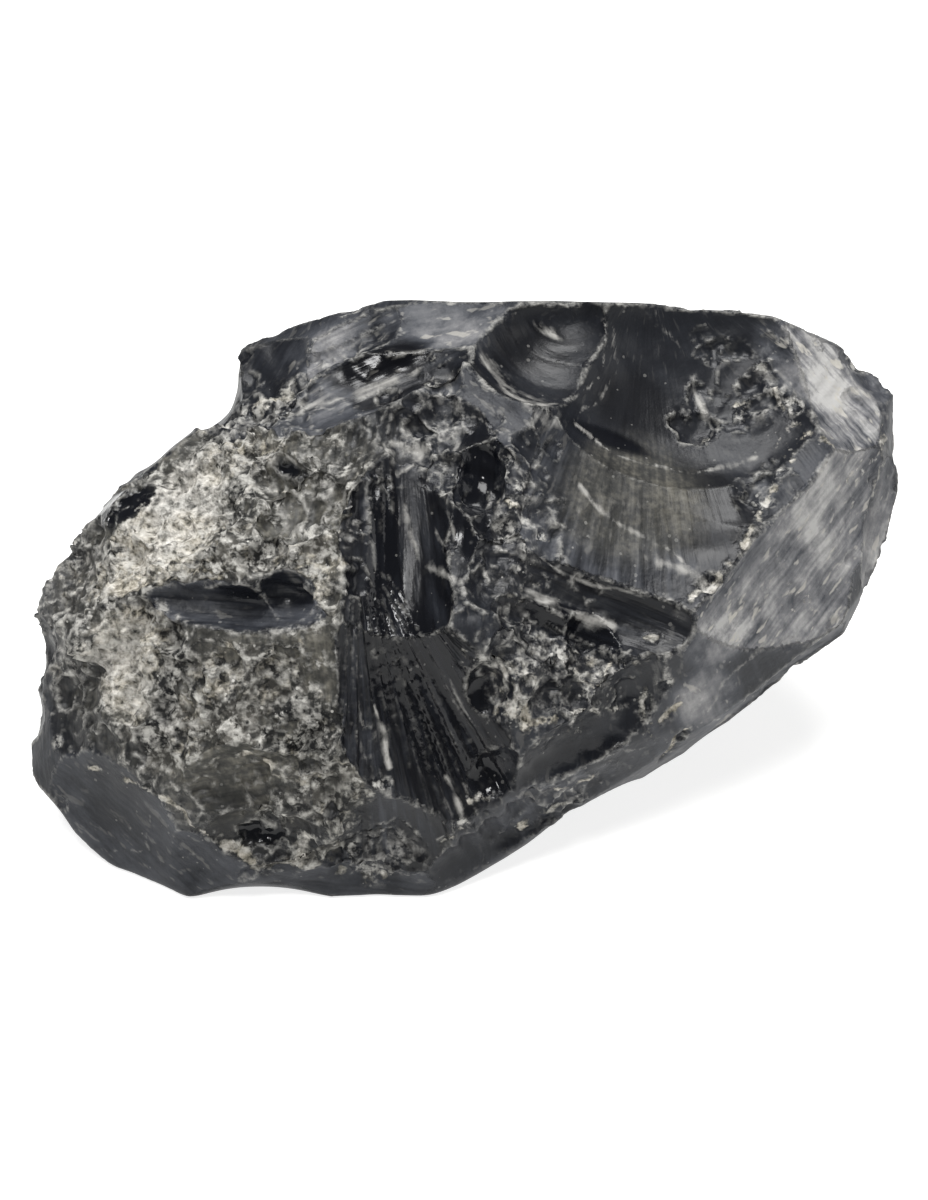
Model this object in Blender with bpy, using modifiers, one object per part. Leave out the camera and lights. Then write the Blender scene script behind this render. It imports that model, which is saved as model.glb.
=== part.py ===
"""Obsidian chunk: one fist-and-a-half sized lump of knapped volcanic glass.

The stone is a rough block from which flakes were struck. It is made the way it broke: a block is
stretched over its corner points, one scoop is cut away for each flake scar, a flat is cut where it
lies on the ground, and the weathered rind, the ripples and the flutes are then pressed in.

The block is described lying on its back, broad broken face up: x to the right, y up the face and
z out of the face, in millimetres from the middle of the face. It is then tipped up on its edge and
set down on the ground, +Z up, the broad face towards -Y, with the origin under the middle.
"""
import math
import random

import bmesh
import bpy
from mathutils import Euler, Matrix, Vector, noise
from mathutils.bvhtree import BVHTree

NAME = "obsidian_chunk"
MM = 0.001

# Driving dimensions, millimetres and degrees
TIP_UP = 55            # the broad face is tipped up this far from lying flat
GROUND = -41.0         # height of the ground below the middle of the face, once tipped up
VOXEL = 1.0            # grain of the surface before it is thinned out
TRIANGLES = 9300       # triangles that are left
SOFT_BITE = 2.5        # a scar's scoop is this many times as high as the scar is deep
CREASE = 28            # edges sharper than this stay sharp
AROUND_FLAKES = 90     # directions tried for the smaller flakes round the sides and back
AROUND_SEED = 11
GOLDEN_TURN = 137.5    # degrees from one direction to the next
HEART_DEPTH = -14      # middle of the stone, behind the middle of the face
FACE_DEPTH = -15       # in front of this lies the broad face, which the smaller flakes leave alone
FACE_TURN = .5         # they also leave alone what looks out of the face more than this
FAR_OUT = 200          # well outside the stone
FINE_SCOOP = 14        # scoops with a larger radius get finer facets
FRONT = (-14, -4)      # depths between which the finish of the broad face fades in
SKIRT = (1, 5)         # heights above the ground between which the relief fades in

# Corners of the rough block
RIM_CORNERS = [
    (-76.5, -21, -6), (-75, 0, -6), (-71, 9.5, -8), (-65, 17, -10), (-40.5, 44.5, -16), (-34, 48, -16),
    (-14.5, 53, -8), (17, 52, 2), (49.5, 52, -2), (72, 43, -12), (76.5, 37.5, -13), (77.5, 20, -14),
    (76, 11, -12), (72.5, 4.5, -9), (67, -6, -8), (40, -26.5, -8), (10.5, -43, -4), (-8.5, -54.5, 2.5),
    (-47, -55.5, 3), (-58, -53.5, -1), (-71, -41.5, -4), (-76, -31, -5),
]
FACE_CORNERS = [
    (-5, 40, 13), (17, 28.5, 22), (51.5, 47, 6), (60.5, 26, 13), (-60, 17.5, 5), (-65.5, -2.5, 12),
    (-63.5, -17, 13), (-45, 7, 23), (-36, 0, 27), (-20, 9.5, 29), (-19, -8.5, 30), (-20, -29, 26),
    (-39.5, -23.5, 26), (-52, -33.5, 15), (-37, -46, 10), (-50, -13.5, 23), (-28, 29, 17),
    (-45.5, 20.5, 12), (-2.5, 0, 30), (11, -6.5, 30), (30, -7.5, 24), (33, -23.5, 9), (9.5, -29, 21),
    (-6, -43, 14), (45.5, 1.5, 19), (73, 24.5, -4), (66, -4, -1),
    (43, -21.5, 3),
]
BACK_CORNERS = [
    (-30.5, 37, -42), (25, 42.5, -46), (58.5, 31.5, -42), (6.5, 15, -52), (43.5, 0, -44),
    (-39.5, 7.5, -44), (-62.5, -7.5, -30), (-39, -32.5, -28), (-6, -36.5, -34), (25, -26, -40),
    (-46.5, -49.5, -8), (68.5, 7.5, -34), (-72.5, -18, -18), (30, -17, -50), (2, -18, -50),
    (-36, -24, -41),
]


def clear_scene():
    for thing in list(bpy.data.objects):
        bpy.data.objects.remove(thing, do_unlink=True)


def collection(name):
    group = bpy.data.collections.new(name)
    bpy.context.scene.collection.children.link(group)
    return group


def rough_block(group):
    """The lump before any flake was struck: the tight skin over all the corners."""
    shape = bmesh.new()
    for corner in RIM_CORNERS + FACE_CORNERS + BACK_CORNERS:
        shape.verts.new(Vector(corner) * MM)
    hull = bmesh.ops.convex_hull(shape, input=shape.verts)
    inside = [item for item in hull["geom_interior"] if isinstance(item, bmesh.types.BMVert)]
    bmesh.ops.delete(shape, geom=inside, context="VERTS")
    bmesh.ops.recalc_face_normals(shape, faces=shape.faces)
    mesh = bpy.data.meshes.new("rough_block")
    shape.to_mesh(mesh)
    shape.free()
    block = bpy.data.objects.new(NAME, mesh)
    group.objects.link(block)
    return block


def facing(right, up):
    """Direction that looks out of the face, turned right and then up by these degrees."""
    right, up = math.radians(right), math.radians(up)
    return Vector((math.sin(right) * math.cos(up), math.sin(up), math.cos(right) * math.cos(up)))


class Knapper:
    """Cuts scoops out of the block; each one is an ellipsoid that dips into the surface."""

    def __init__(self, block, group):
        self.block = block
        self.group = group
        self.skin = BVHTree.FromPolygons([vertex.co for vertex in block.data.vertices],
                                         [face.vertices for face in block.data.polygons])

    def scoop(self, name, place, out, length, width, depth, turn, bite):
        """length x width x depth is the mouth of the scar, turn its angle on the face."""
        height = bite * depth
        share = math.sqrt(1 - (1 - 1 / bite) ** 2)
        along = Vector((math.cos(math.radians(turn)), math.sin(math.radians(turn)), 0))
        along = (along - out * along.dot(out)).normalized()
        across = out.cross(along)
        radius = max(length, width) / 2 / share
        finer = 3 if radius < FINE_SCOOP else 4
        bpy.ops.mesh.primitive_ico_sphere_add(subdivisions=finer, radius=1)
        cutter = bpy.context.object
        cutter.name = "scar_" + name
        axes = Matrix((along, across, out)).transposed()
        size = Matrix.Diagonal((length / 2 / share, width / 2 / share, height)) * MM
        centre = (place + out * (height - depth)) * MM
        cutter.matrix_world = Matrix.Translation(centre) @ (axes @ size).to_4x4()
        cutter.hide_render = True
        cutter.display_type = "WIRE"
        for home in list(cutter.users_collection):
            home.objects.unlink(cutter)
        self.group.objects.link(cutter)

    def front(self, name, place, size, turn=0, sink=0, lean=(0, 0), bite=SOFT_BITE, behind=False):
        """Scar on the skin of the block, straight below (or above) this point of the face."""
        side = -1 if behind else 1
        start = Vector((place[0], place[1], side * FAR_OUT)) * MM
        hit, out, _, _ = self.skin.ray_cast(start, Vector((0, 0, -side)))
        aside = Vector([math.tan(math.radians(angle)) for angle in lean] + [0])
        out = (out + aside).normalized()
        self.scoop(name, hit / MM - out * sink, out, *size, turn, bite)

    def aimed(self, name, aim, size, turn):
        """Scar where a line from the middle of the stone leaves it; the broad face is left alone."""
        middle = Vector((0, 0, HEART_DEPTH)) * MM
        hit, out, _, _ = self.skin.ray_cast(middle, facing(*aim))
        if hit.z < FACE_DEPTH * MM and out.z < FACE_TURN:
            self.scoop(name, hit / MM, out, *size, turn, SOFT_BITE)

    def side(self, name, place, out, size, turn=0, bite=SOFT_BITE):
        """Scar at this point in space, facing this many degrees right and up."""
        self.scoop(name, Vector(place), facing(*out), *size, turn, bite)


def knap_outline(knap):
    """Flakes off the rim that give the stone its outline."""
    knap.side("notch", (-59.5, 27, -8), (-80, 56), (38, 60, 5.1), 34, 1.2)
    knap.side("notch_wall", (-43, 36.5, -10), (-84, 18), (14, 44, 3), 70, 1.4)
    knap.side("step", (-69.5, 14.5, -8), (-82, 45), (11, 24, 2.5), 40, 1.6)
    knap.side("left_lobe", (-75, -9.5, -6), (-79, 0), (12, 16, 2), 90)
    knap.side("left_lobe_low", (-75, -20, -6), (-79, 0), (8, 12, 1), 90)
    knap.side("left_heel", (-73, -36.5, -5), (-83, -37), (12, 16, 1), -60)
    knap.side("underside_dip", (-35.5, -53, 0), (0, -76), (24, 24, 2.5))
    knap.side("right_rim", (45.5, -24.5, -8), (80, -56), (24, 30, 2), 33)
    knap.side("right_heel", (21, -38, -6), (79, -59), (26, 20, 2.5), 33)


def knap_top(knap):
    """Smooth scars along the upper edge: shoulder, leaf shapes and the ringed bowl."""
    knap.front("shoulder", (-34.5, 39), (26, 24, 3.5), 50, lean=(-8, 0))
    knap.front("leaf", (-19.5, 37), (38, 17, 5), 24, lean=(0, 6))
    knap.front("leaf_upper", (-23.5, 44), (36, 12, 3), 20, lean=(0, 10))
    knap.front("leaf_hollow", (-13, 40), (26, 10, 2.5), 26, sink=3.5, lean=(0, 6))
    knap.front("crown", (-6, 47), (30, 20, 2.5))
    knap.front("lip_band", (2.5, 35), (44, 14, 3), -38, lean=(4, 0))
    knap.front("bowl", (15, 43.5), (31, 26, 9), -20)
    knap.front("bowl_heart", (17, 47.5), (18, 14, 3), sink=5)
    knap.front("corner_blade", (64, 37), (46, 24, 4), -48)
    knap.front("corner_tip", (71.5, 40.5), (14, 12, 2), -30)


def knap_big_scar(knap):
    """The big nested scar right of the middle; all its flakes were struck from the upper edge."""
    knap.front("shell_outer", (35.5, 22), (68, 50, 9), 50)
    knap.front("shell_middle", (39, 29.5), (54, 42, 4.5), 40, sink=7)
    knap.front("shell_inner", (40, 39), (40, 34, 4.5), 10, sink=11)
    knap.front("shell_left_chip", (33.5, 46.5), (12, 16, 2), 60, sink=8.5, lean=(20, -30))
    knap.front("shell_root", (44.5, 44), (18, 14, 2.5), 20, sink=12, lean=(0, -25))
    knap.front("shell_foot", (23, 0), (34, 13, 3.5), -22, sink=4.5)


def knap_right(knap):
    """Dull flat break on the right and the steep strip below it."""
    knap.front("right_break", (53, 1.5), (72, 42, 3.5), 42)
    knap.front("right_break_upper", (66.5, 17.5), (30, 24, 1.5), 42, sink=.5)
    knap.front("right_strip", (56.5, -13), (34, 9, 2), 33)
    knap.front("right_edge", (74.5, 14), (30, 12, 2.5), 75)


def knap_rind(knap):
    """Soft dips in the weathered left half, with the slot and the ringed dimple."""
    knap.front("rind_shoulder", (-52.5, 15.5), (34, 26, 2.5), 40)
    knap.front("rind_brow", (-43, 19), (26, 22, 2), 20, sink=1.5)
    knap.front("rind_cheek", (-57, -11), (34, 24, 2.5), 75)
    knap.front("rind_left_upper", (-68, 1.5), (24, 18, 2), 75)
    knap.front("rind_left_lower", (-67.5, -17.5), (26, 18, 2), 95)
    knap.front("rind_belly", (-45, -17), (22, 20, 2), 60)
    knap.front("rind_middle", (-30, -17), (30, 22, 2.5), 60)
    knap.front("rind_foot", (-24.5, -32.5), (22, 16, 2), 80)
    knap.front("rind_top", (-26.5, 27.5), (34, 18, 3), 10)
    knap.front("rind_ridge", (-22.5, 6.5), (16, 14, 2))
    knap.front("dimple", (-28, 17), (16, 15, 5))
    knap.front("dimple_side", (-34, 23), (14, 8, 2.5), 10, sink=2.5)
    knap.front("slot", (-39.5, -1), (46, 8, 4.5), -3, lean=(0, -10))
    knap.front("slot_end", (-30.5, .5), (12, 10, 5.5))
    knap.front("low_flake", (-38, -31), (26, 15, 3.5), 10)
    knap.front("lowest_flake", (-33.5, -41), (22, 13, 4))
    knap.front("left_heel_facet", (-60, -41), (50, 28, 3), -42)
    knap.front("left_heel_strip", (-46, -46.5), (30, 14, 2), -14)
    knap.front("bottom_strip", (-20.5, -50), (40, 10, 2.5), -6)


def knap_channel(knap):
    """The deep channel down the middle, its left wall steep."""
    knap.front("channel_upper", (-9.5, 7), (66, 20, 7), 92, lean=(-22, 0))
    knap.front("channel_lower", (-4, -21), (60, 27, 7), -68, lean=(-18, 0))
    knap.front("channel_foot", (-11, -41), (24, 20, 3), -60)


def knap_middle(knap):
    """Cluster of small scars and pockets between the channel and the big scar."""
    knap.front("upper_pocket", (2.5, 22), (19, 11, 7), 90)
    knap.front("upper_pocket_low", (6, 14.5), (12, 10, 4), 20)
    knap.front("channel_head", (-8.5, 29), (18, 11, 4), -10)
    knap.front("under_lip", (-1.5, 31.5), (16, 12, 3), -30, sink=1.5)
    knap.front("shell_neighbour", (11, 20.5), (20, 13, 3), 60)
    knap.front("middle_scar", (7, 6), (18, 14, 3.5), 60)
    knap.front("channel_side", (-1.5, 9.5), (18, 9, 3), 80)
    knap.front("lip_chip", (16.5, 27.5), (16, 10, 2.5), -20, sink=4)
    knap.front("head_chip", (-4, 22), (12, 8, 2.5), 70, sink=1)
    knap.front("ring_pocket", (3, -17), (16, 11, 5.5), 75)
    knap.front("low_pocket", (4.5, -30.5), (14, 11, 5), 60)
    knap.front("foot_gap", (18, -5), (26, 9, 4), -25, sink=4)
    knap.front("foot_gap_end", (23, -8), (10, 11, 4), sink=6)
    knap.front("brow_scar", (10.5, -8.5), (16, 12, 2.5), 30)
    knap.front("lower_facet", (19, -25.5), (30, 14, 3), 24)
    knap.front("speckled_facet", (16.5, -15.5), (18, 14, 2.5), 20)
    knap.front("edge_facet", (6, -41), (30, 13, 2.5), 30)
    knap.front("edge_chip", (28.5, -17), (16, 12, 2.5), 80, sink=1)


def knap_back(knap):
    """Broad plain scars on the far side."""
    knap.front("back_left", (-28, 12), (58, 40, 5), 30, behind=True)
    knap.front("back_right", (34, 18), (62, 44, 5.5), -24, behind=True)
    knap.front("back_middle", (2, -8), (50, 36, 4.5), 70, behind=True)
    knap.front("back_top", (0, 40), (60, 24, 4), 5, behind=True)
    knap.front("back_heel", (-34, -30), (40, 24, 3.5), 15, behind=True)
    knap.front("back_low", (26, -18), (40, 24, 3.5), -30, behind=True)


def knap_around(knap):
    """Smaller flakes all round the sides and the back, spread evenly over every direction."""
    chance = random.Random(AROUND_SEED)
    for count in range(AROUND_FLAKES):
        up = math.degrees(math.asin(1 - 2 * (count + .5) / AROUND_FLAKES)) + chance.uniform(-5, 5)
        right = count * GOLDEN_TURN + chance.uniform(-8, 8)
        length = chance.uniform(20, 42)
        width = length * chance.uniform(.55, .85)
        size = (length, width, length * chance.uniform(.06, .09))
        knap.aimed("around_%02d" % count, (right, up), size, chance.uniform(0, 180))


def knap_all(block, group):
    knap = Knapper(block, group)
    knap_outline(knap)
    knap_top(knap)
    knap_big_scar(knap)
    knap_right(knap)
    knap_rind(knap)
    knap_channel(knap)
    knap_middle(knap)
    knap_back(knap)
    knap_around(knap)


def ground_cutter(group):
    """The stone has worn flat where it lies; the cutter is a slab under the tipped ground line."""
    bpy.ops.mesh.primitive_cube_add(size=1)
    slab = bpy.context.object
    slab.name = "ground_slab"
    wide, thick = 2 * FAR_OUT, 60
    tip = Euler((math.radians(-TIP_UP), 0, 0)).to_matrix()
    size = Matrix.Diagonal((wide, wide, thick)) * MM
    middle = tip @ Vector((0, 0, GROUND - thick / 2)) * MM
    slab.matrix_world = Matrix.Translation(middle) @ (tip @ size).to_4x4()
    slab.hide_render = True
    slab.display_type = "WIRE"
    for home in list(slab.users_collection):
        home.objects.unlink(slab)
    group.objects.link(slab)


def cut_away(block, group):
    """One Boolean for each cutter, then an even grain all over."""
    for cutter in group.objects:
        cut = block.modifiers.new(cutter.name, "BOOLEAN")
        cut.operation = "DIFFERENCE"
        cut.solver = "EXACT"
        cut.object = cutter
    grain = block.modifiers.new("grain", "REMESH")
    grain.mode = "VOXEL"
    grain.voxel_size = VOXEL * MM


def settled_mesh(thing):
    bpy.context.view_layer.update()
    graph = bpy.context.evaluated_depsgraph_get()
    return bpy.data.meshes.new_from_object(thing.evaluated_get(graph))


def soft_step(value, low, high):
    share = min(max((value - low) / (high - low), 0), 1)
    return share * share * (3 - 2 * share)


# Patches of weathered rind: middle across and up, then half width and half height
RIND_PATCHES = [
    ((-47, 14), (30, 22)), ((-48, -16), (30, 22)), ((-26, 14), (16, 26)), ((-26, -26), (18, 26)),
    ((10, -16), (14, 16)), ((12, 8), (12, 14)),
]
RIND_EDGE = (.75, 1.1)     # shares of a patch's half size between which it fades out
LUMPS = (7.5, 1.1)         # millimetres apart and high
KNOTS = (3.4, 1.5)
KNOT_SHIFT = Vector((9, 4, 1))


def rind_amount(place):
    amount = 0
    for (across, up), (half_width, half_height) in RIND_PATCHES:
        away = math.hypot((place.x - across) / half_width, (place.y - up) / half_height)
        amount = max(amount, 1 - soft_step(away, *RIND_EDGE))
    return amount * soft_step(place.z, *FRONT)


def rind_relief(place):
    """Lumps and pits of the rind, millimetres up or down."""
    amount = rind_amount(place)
    if amount == 0:
        return 0
    lumps = noise.noise(place / LUMPS[0]) * LUMPS[1]
    knots = (abs(noise.noise(place / KNOTS[0] + KNOT_SHIFT)) - .25) * KNOTS[1]
    return amount * (lumps + knots)


# Fans of flutes: strike point, reach from and to, swing from straight down from and to, degrees apart
FLUTE_FANS = [
    ((-18.5, 12), (14, 66), (-7, 30), 4.4),
    ((-14, 72), (44, 84), (-4, 10), 2.4),
]
FLUTE_HEIGHT = .5
FLUTE_ENDS = 8         # millimetres over which a flute dies away
FLUTED_DEPTH = (4, 8)  # depths between which the flutes fade in
# Rings: strike point, reach from and to, millimetres apart, height
RINGS = [
    ((41, 51, -2), (14, 52), 6.5, .28),
    ((17, 52, -2), (4, 24), 4.4, .3),
    ((-2, 56, 0), (10, 46), 5, .15),
]
RING_ENDS = 6
RINGED_DEPTH = (-12, -6)


def flute_relief(place):
    """Flutes that fan down the channel from the points where its flakes were struck."""
    relief = 0
    for struck, (near, far), (left, right), apart in FLUTE_FANS:
        away = place.to_2d() - Vector(struck)
        reach = away.length
        swing = math.degrees(math.atan2(away.x, -away.y))
        inside = soft_step(reach, near, near + FLUTE_ENDS) * (1 - soft_step(reach, far - FLUTE_ENDS, far))
        inside *= soft_step(swing, left, left + 3) * (1 - soft_step(swing, right - 4, right))
        drift = noise.noise(Vector((swing / 9, reach / 30, 3))) * apart * .7
        relief += inside * FLUTE_HEIGHT * math.cos(math.radians(360 / apart * (swing + drift)))
    return relief * soft_step(place.z, *FLUTED_DEPTH)


def ripple_relief(place):
    """Ripples of the glass, in rings around the points where the flakes were struck."""
    relief = 0
    for struck, (near, far), apart, height in RINGS:
        reach = (place - Vector(struck)).length
        inside = soft_step(reach, near, near + RING_ENDS) * (1 - soft_step(reach, far - RING_ENDS, far))
        relief += inside * height * math.cos(2 * math.pi * reach / apart)
    return relief * soft_step(place.z, *RINGED_DEPTH) * (1 - rind_amount(place))


def roughen(mesh):
    """Press the rind, the flutes and the ripples into the evened surface; the ground flat stays."""
    shape = bmesh.new()
    shape.from_mesh(mesh)
    shape.normal_update()
    tip = Euler((math.radians(TIP_UP), 0, 0)).to_matrix()
    ground = GROUND * MM
    moves = []
    for vertex in shape.verts:
        place = vertex.co / MM
        height = (tip @ vertex.co).z - ground
        free = soft_step(height / MM, *SKIRT)
        relief = rind_relief(place) + flute_relief(place) + ripple_relief(place)
        moves.append(vertex.normal * (relief * free * MM))
    for vertex, move in zip(shape.verts, moves):
        vertex.co += move
    shape.to_mesh(mesh)
    shape.free()


def thin_out(stone):
    """Keep the triangles that carry the shape."""
    count = sum(len(face.vertices) - 2 for face in stone.data.polygons)
    thin = stone.modifiers.new("thin", "DECIMATE")
    thin.ratio = TRIANGLES / count
    return settled_mesh(stone)


def stand_up(mesh):
    """Tip the stone up, put its flat on the ground and its middle over the origin."""
    mesh.transform(Matrix.Rotation(math.radians(TIP_UP), 4, "X"))
    low = Vector([min(vertex.co[axis] for vertex in mesh.vertices) for axis in range(3)])
    high = Vector([max(vertex.co[axis] for vertex in mesh.vertices) for axis in range(3)])
    middle = (low + high) / 2
    mesh.transform(Matrix.Translation((-middle.x, -middle.y, -low.z)))


FLAT_SLACK = .12       # millimetres


def tidy_flat(mesh):
    """Bring the few hundredths left on the ground flat to exactly zero."""
    for vertex in mesh.vertices:
        if vertex.co.z < FLAT_SLACK * MM:
            vertex.co.z = 0


def obsidian():
    """Black volcanic glass, glossy where it broke."""
    material = bpy.data.materials.new("black_obsidian")
    material.use_nodes = True
    shader = material.node_tree.nodes["Principled BSDF"]
    shader.inputs["Base Color"].default_value = (.018, .019, .022, 1)
    shader.inputs["Roughness"].default_value = .22
    shader.inputs["Metallic"].default_value = 0
    material.diffuse_color = (.018, .019, .022, 1)
    return material


def main():
    clear_scene()
    cutters = collection(NAME + "_cutters")
    stone = rough_block(collection(NAME))
    knap_all(stone, cutters)
    ground_cutter(cutters)
    cut_away(stone, cutters)
    evened = settled_mesh(stone)
    stone.modifiers.clear()
    roughen(evened)
    stone.data = evened
    thinned = thin_out(stone)
    stone.modifiers.clear()
    stone.data = thinned
    stand_up(thinned)
    tidy_flat(thinned)
    thinned.name = NAME
    thinned.materials.clear()
    thinned.materials.append(obsidian())
    thinned.shade_smooth()
    thinned.set_sharp_from_angle(angle=math.radians(CREASE))


main()
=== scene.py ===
"""Obsidian chunk: the dressed stone on a pale table.

The stone is described lying on its back, broad broken face up: x to the right, y up the face and
z out of the face, in millimetres from the middle of the face. Its finished mesh is then tipped up
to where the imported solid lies. Metres and +Z up in the scene itself.
"""

import math
import random

import bmesh
import bpy
import numpy as np
from mathutils import Euler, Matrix, Vector, kdtree, noise
from mathutils.bvhtree import BVHTree


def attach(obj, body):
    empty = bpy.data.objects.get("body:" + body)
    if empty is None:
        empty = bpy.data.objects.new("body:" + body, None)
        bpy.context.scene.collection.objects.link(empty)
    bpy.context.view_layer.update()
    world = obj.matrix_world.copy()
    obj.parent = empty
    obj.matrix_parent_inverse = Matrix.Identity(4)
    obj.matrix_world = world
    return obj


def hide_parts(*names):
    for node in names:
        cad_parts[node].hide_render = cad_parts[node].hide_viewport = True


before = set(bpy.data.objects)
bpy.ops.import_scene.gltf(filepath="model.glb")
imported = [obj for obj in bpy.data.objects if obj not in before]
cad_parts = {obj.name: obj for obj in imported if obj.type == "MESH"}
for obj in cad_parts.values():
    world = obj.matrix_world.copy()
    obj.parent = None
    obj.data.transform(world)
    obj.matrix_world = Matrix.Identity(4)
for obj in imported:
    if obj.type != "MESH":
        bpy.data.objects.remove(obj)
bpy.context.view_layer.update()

# ---------------------------------------------------------------- the broken block
# One lump of volcanic glass with flat and hollow breaks. It is a block from which flakes were
# struck: the tight skin over its corners, less one scoop for each flake scar, worn flat below.

MM = 0.001
TIP_UP = 55                          # degrees from lying on its back
FACE_MIDDLE = (-0.54, -11.23, 41.0)  # where the middle of the face stands, millimetres
SOFT_BITE = 2.5                      # a scoop is this many times as high as its scar is deep
AROUND_FLAKES = 90                   # directions tried for the smaller flakes round the sides and back
AROUND_SEED = 11
AROUND_SWAY = (5, 8)                 # degrees up and right that a direction may be off
AROUND_LENGTH = (20, 42)             # from and to, millimetres
AROUND_WIDTH = (.55, .85)            # shares of the length
AROUND_DEPTH = (.06, .09)
GOLDEN_TURN = 137.5                  # degrees from one direction to the next
HEART_DEPTH = -14                    # middle of the stone, behind the middle of the face
FACE_DEPTH = -15                     # in front of this the smaller flakes leave the broad face alone
FACE_TURN = .5                       # they also leave alone what looks out of the face more than this
FAR_OUT = 200                        # well outside the stone

RIM_CORNERS = [
    (-76.5, -21, -6), (-75, 0, -6), (-71, 9.5, -8), (-65, 17, -10), (-40.5, 44.5, -16),
    (-34, 48, -16), (-14.5, 53, -8), (17, 52, 2), (49.5, 52, -2), (72, 43, -12), (76.5, 37.5, -13),
    (77.5, 20, -14), (76, 11, -12), (72.5, 4.5, -9), (67, -6, -8), (40, -26.5, -8), (10.5, -43, -4),
    (-8.5, -54.5, 2.5), (-47, -55.5, 3), (-58, -53.5, -1), (-71, -41.5, -4), (-76, -31, -5),
]
FACE_CORNERS = [
    (-5, 40, 13), (17, 28.5, 22), (51.5, 47, 6), (60.5, 26, 13), (-60, 17.5, 5), (-65.5, -2.5, 12),
    (-63.5, -17, 13), (-45, 7, 23), (-36, 0, 27), (-20, 9.5, 29), (-19, -8.5, 30), (-20, -29, 26),
    (-39.5, -23.5, 26), (-52, -33.5, 15), (-37, -46, 10), (-50, -13.5, 23), (-28, 29, 17),
    (-45.5, 20.5, 12), (-2.5, 0, 30), (11, -6.5, 30), (30, -7.5, 24), (33, -23.5, 9),
    (9.5, -29, 21), (-6, -43, 14), (45.5, 1.5, 19), (73, 24.5, -4), (66, -4, -1), (43, -21.5, 3),
]
BACK_CORNERS = [
    (-30.5, 37, -42), (25, 42.5, -46), (58.5, 31.5, -42), (6.5, 15, -52), (43.5, 0, -44),
    (-39.5, 7.5, -44), (-62.5, -7.5, -30), (-39, -32.5, -28), (-6, -36.5, -34), (25, -26, -40),
    (-46.5, -49.5, -8), (68.5, 7.5, -34), (-72.5, -18, -18), (30, -17, -50), (2, -18, -50),
    (-36, -24, -41),
]

# Scars on the rim and the sides: place, facing right and up, mouth, turn, bite
SIDE_SCARS = {
    "notch": ((-59.5, 27, -8), (-80, 56), (38, 60, 5.1), 34, 1.2),
    "notch_wall": ((-43, 36.5, -10), (-84, 18), (14, 44, 3), 70, 1.4),
    "step": ((-69.5, 14.5, -8), (-82, 45), (11, 24, 2.5), 40, 1.6),
    "left_lobe": ((-75, -9.5, -6), (-79, 0), (12, 16, 2), 90, 2.5),
    "left_lobe_low": ((-75, -20, -6), (-79, 0), (8, 12, 1), 90, 2.5),
    "left_heel": ((-73, -36.5, -5), (-83, -37), (12, 16, 1), -60, 2.5),
    "underside_dip": ((-35.5, -53, 0), (0, -76), (24, 24, 2.5), 0, 2.5),
    "right_rim": ((45.5, -24.5, -8), (80, -56), (24, 30, 2), 33, 2.5),
    "right_heel": ((21, -38, -6), (79, -59), (26, 20, 2.5), 33, 2.5),
}
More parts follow.
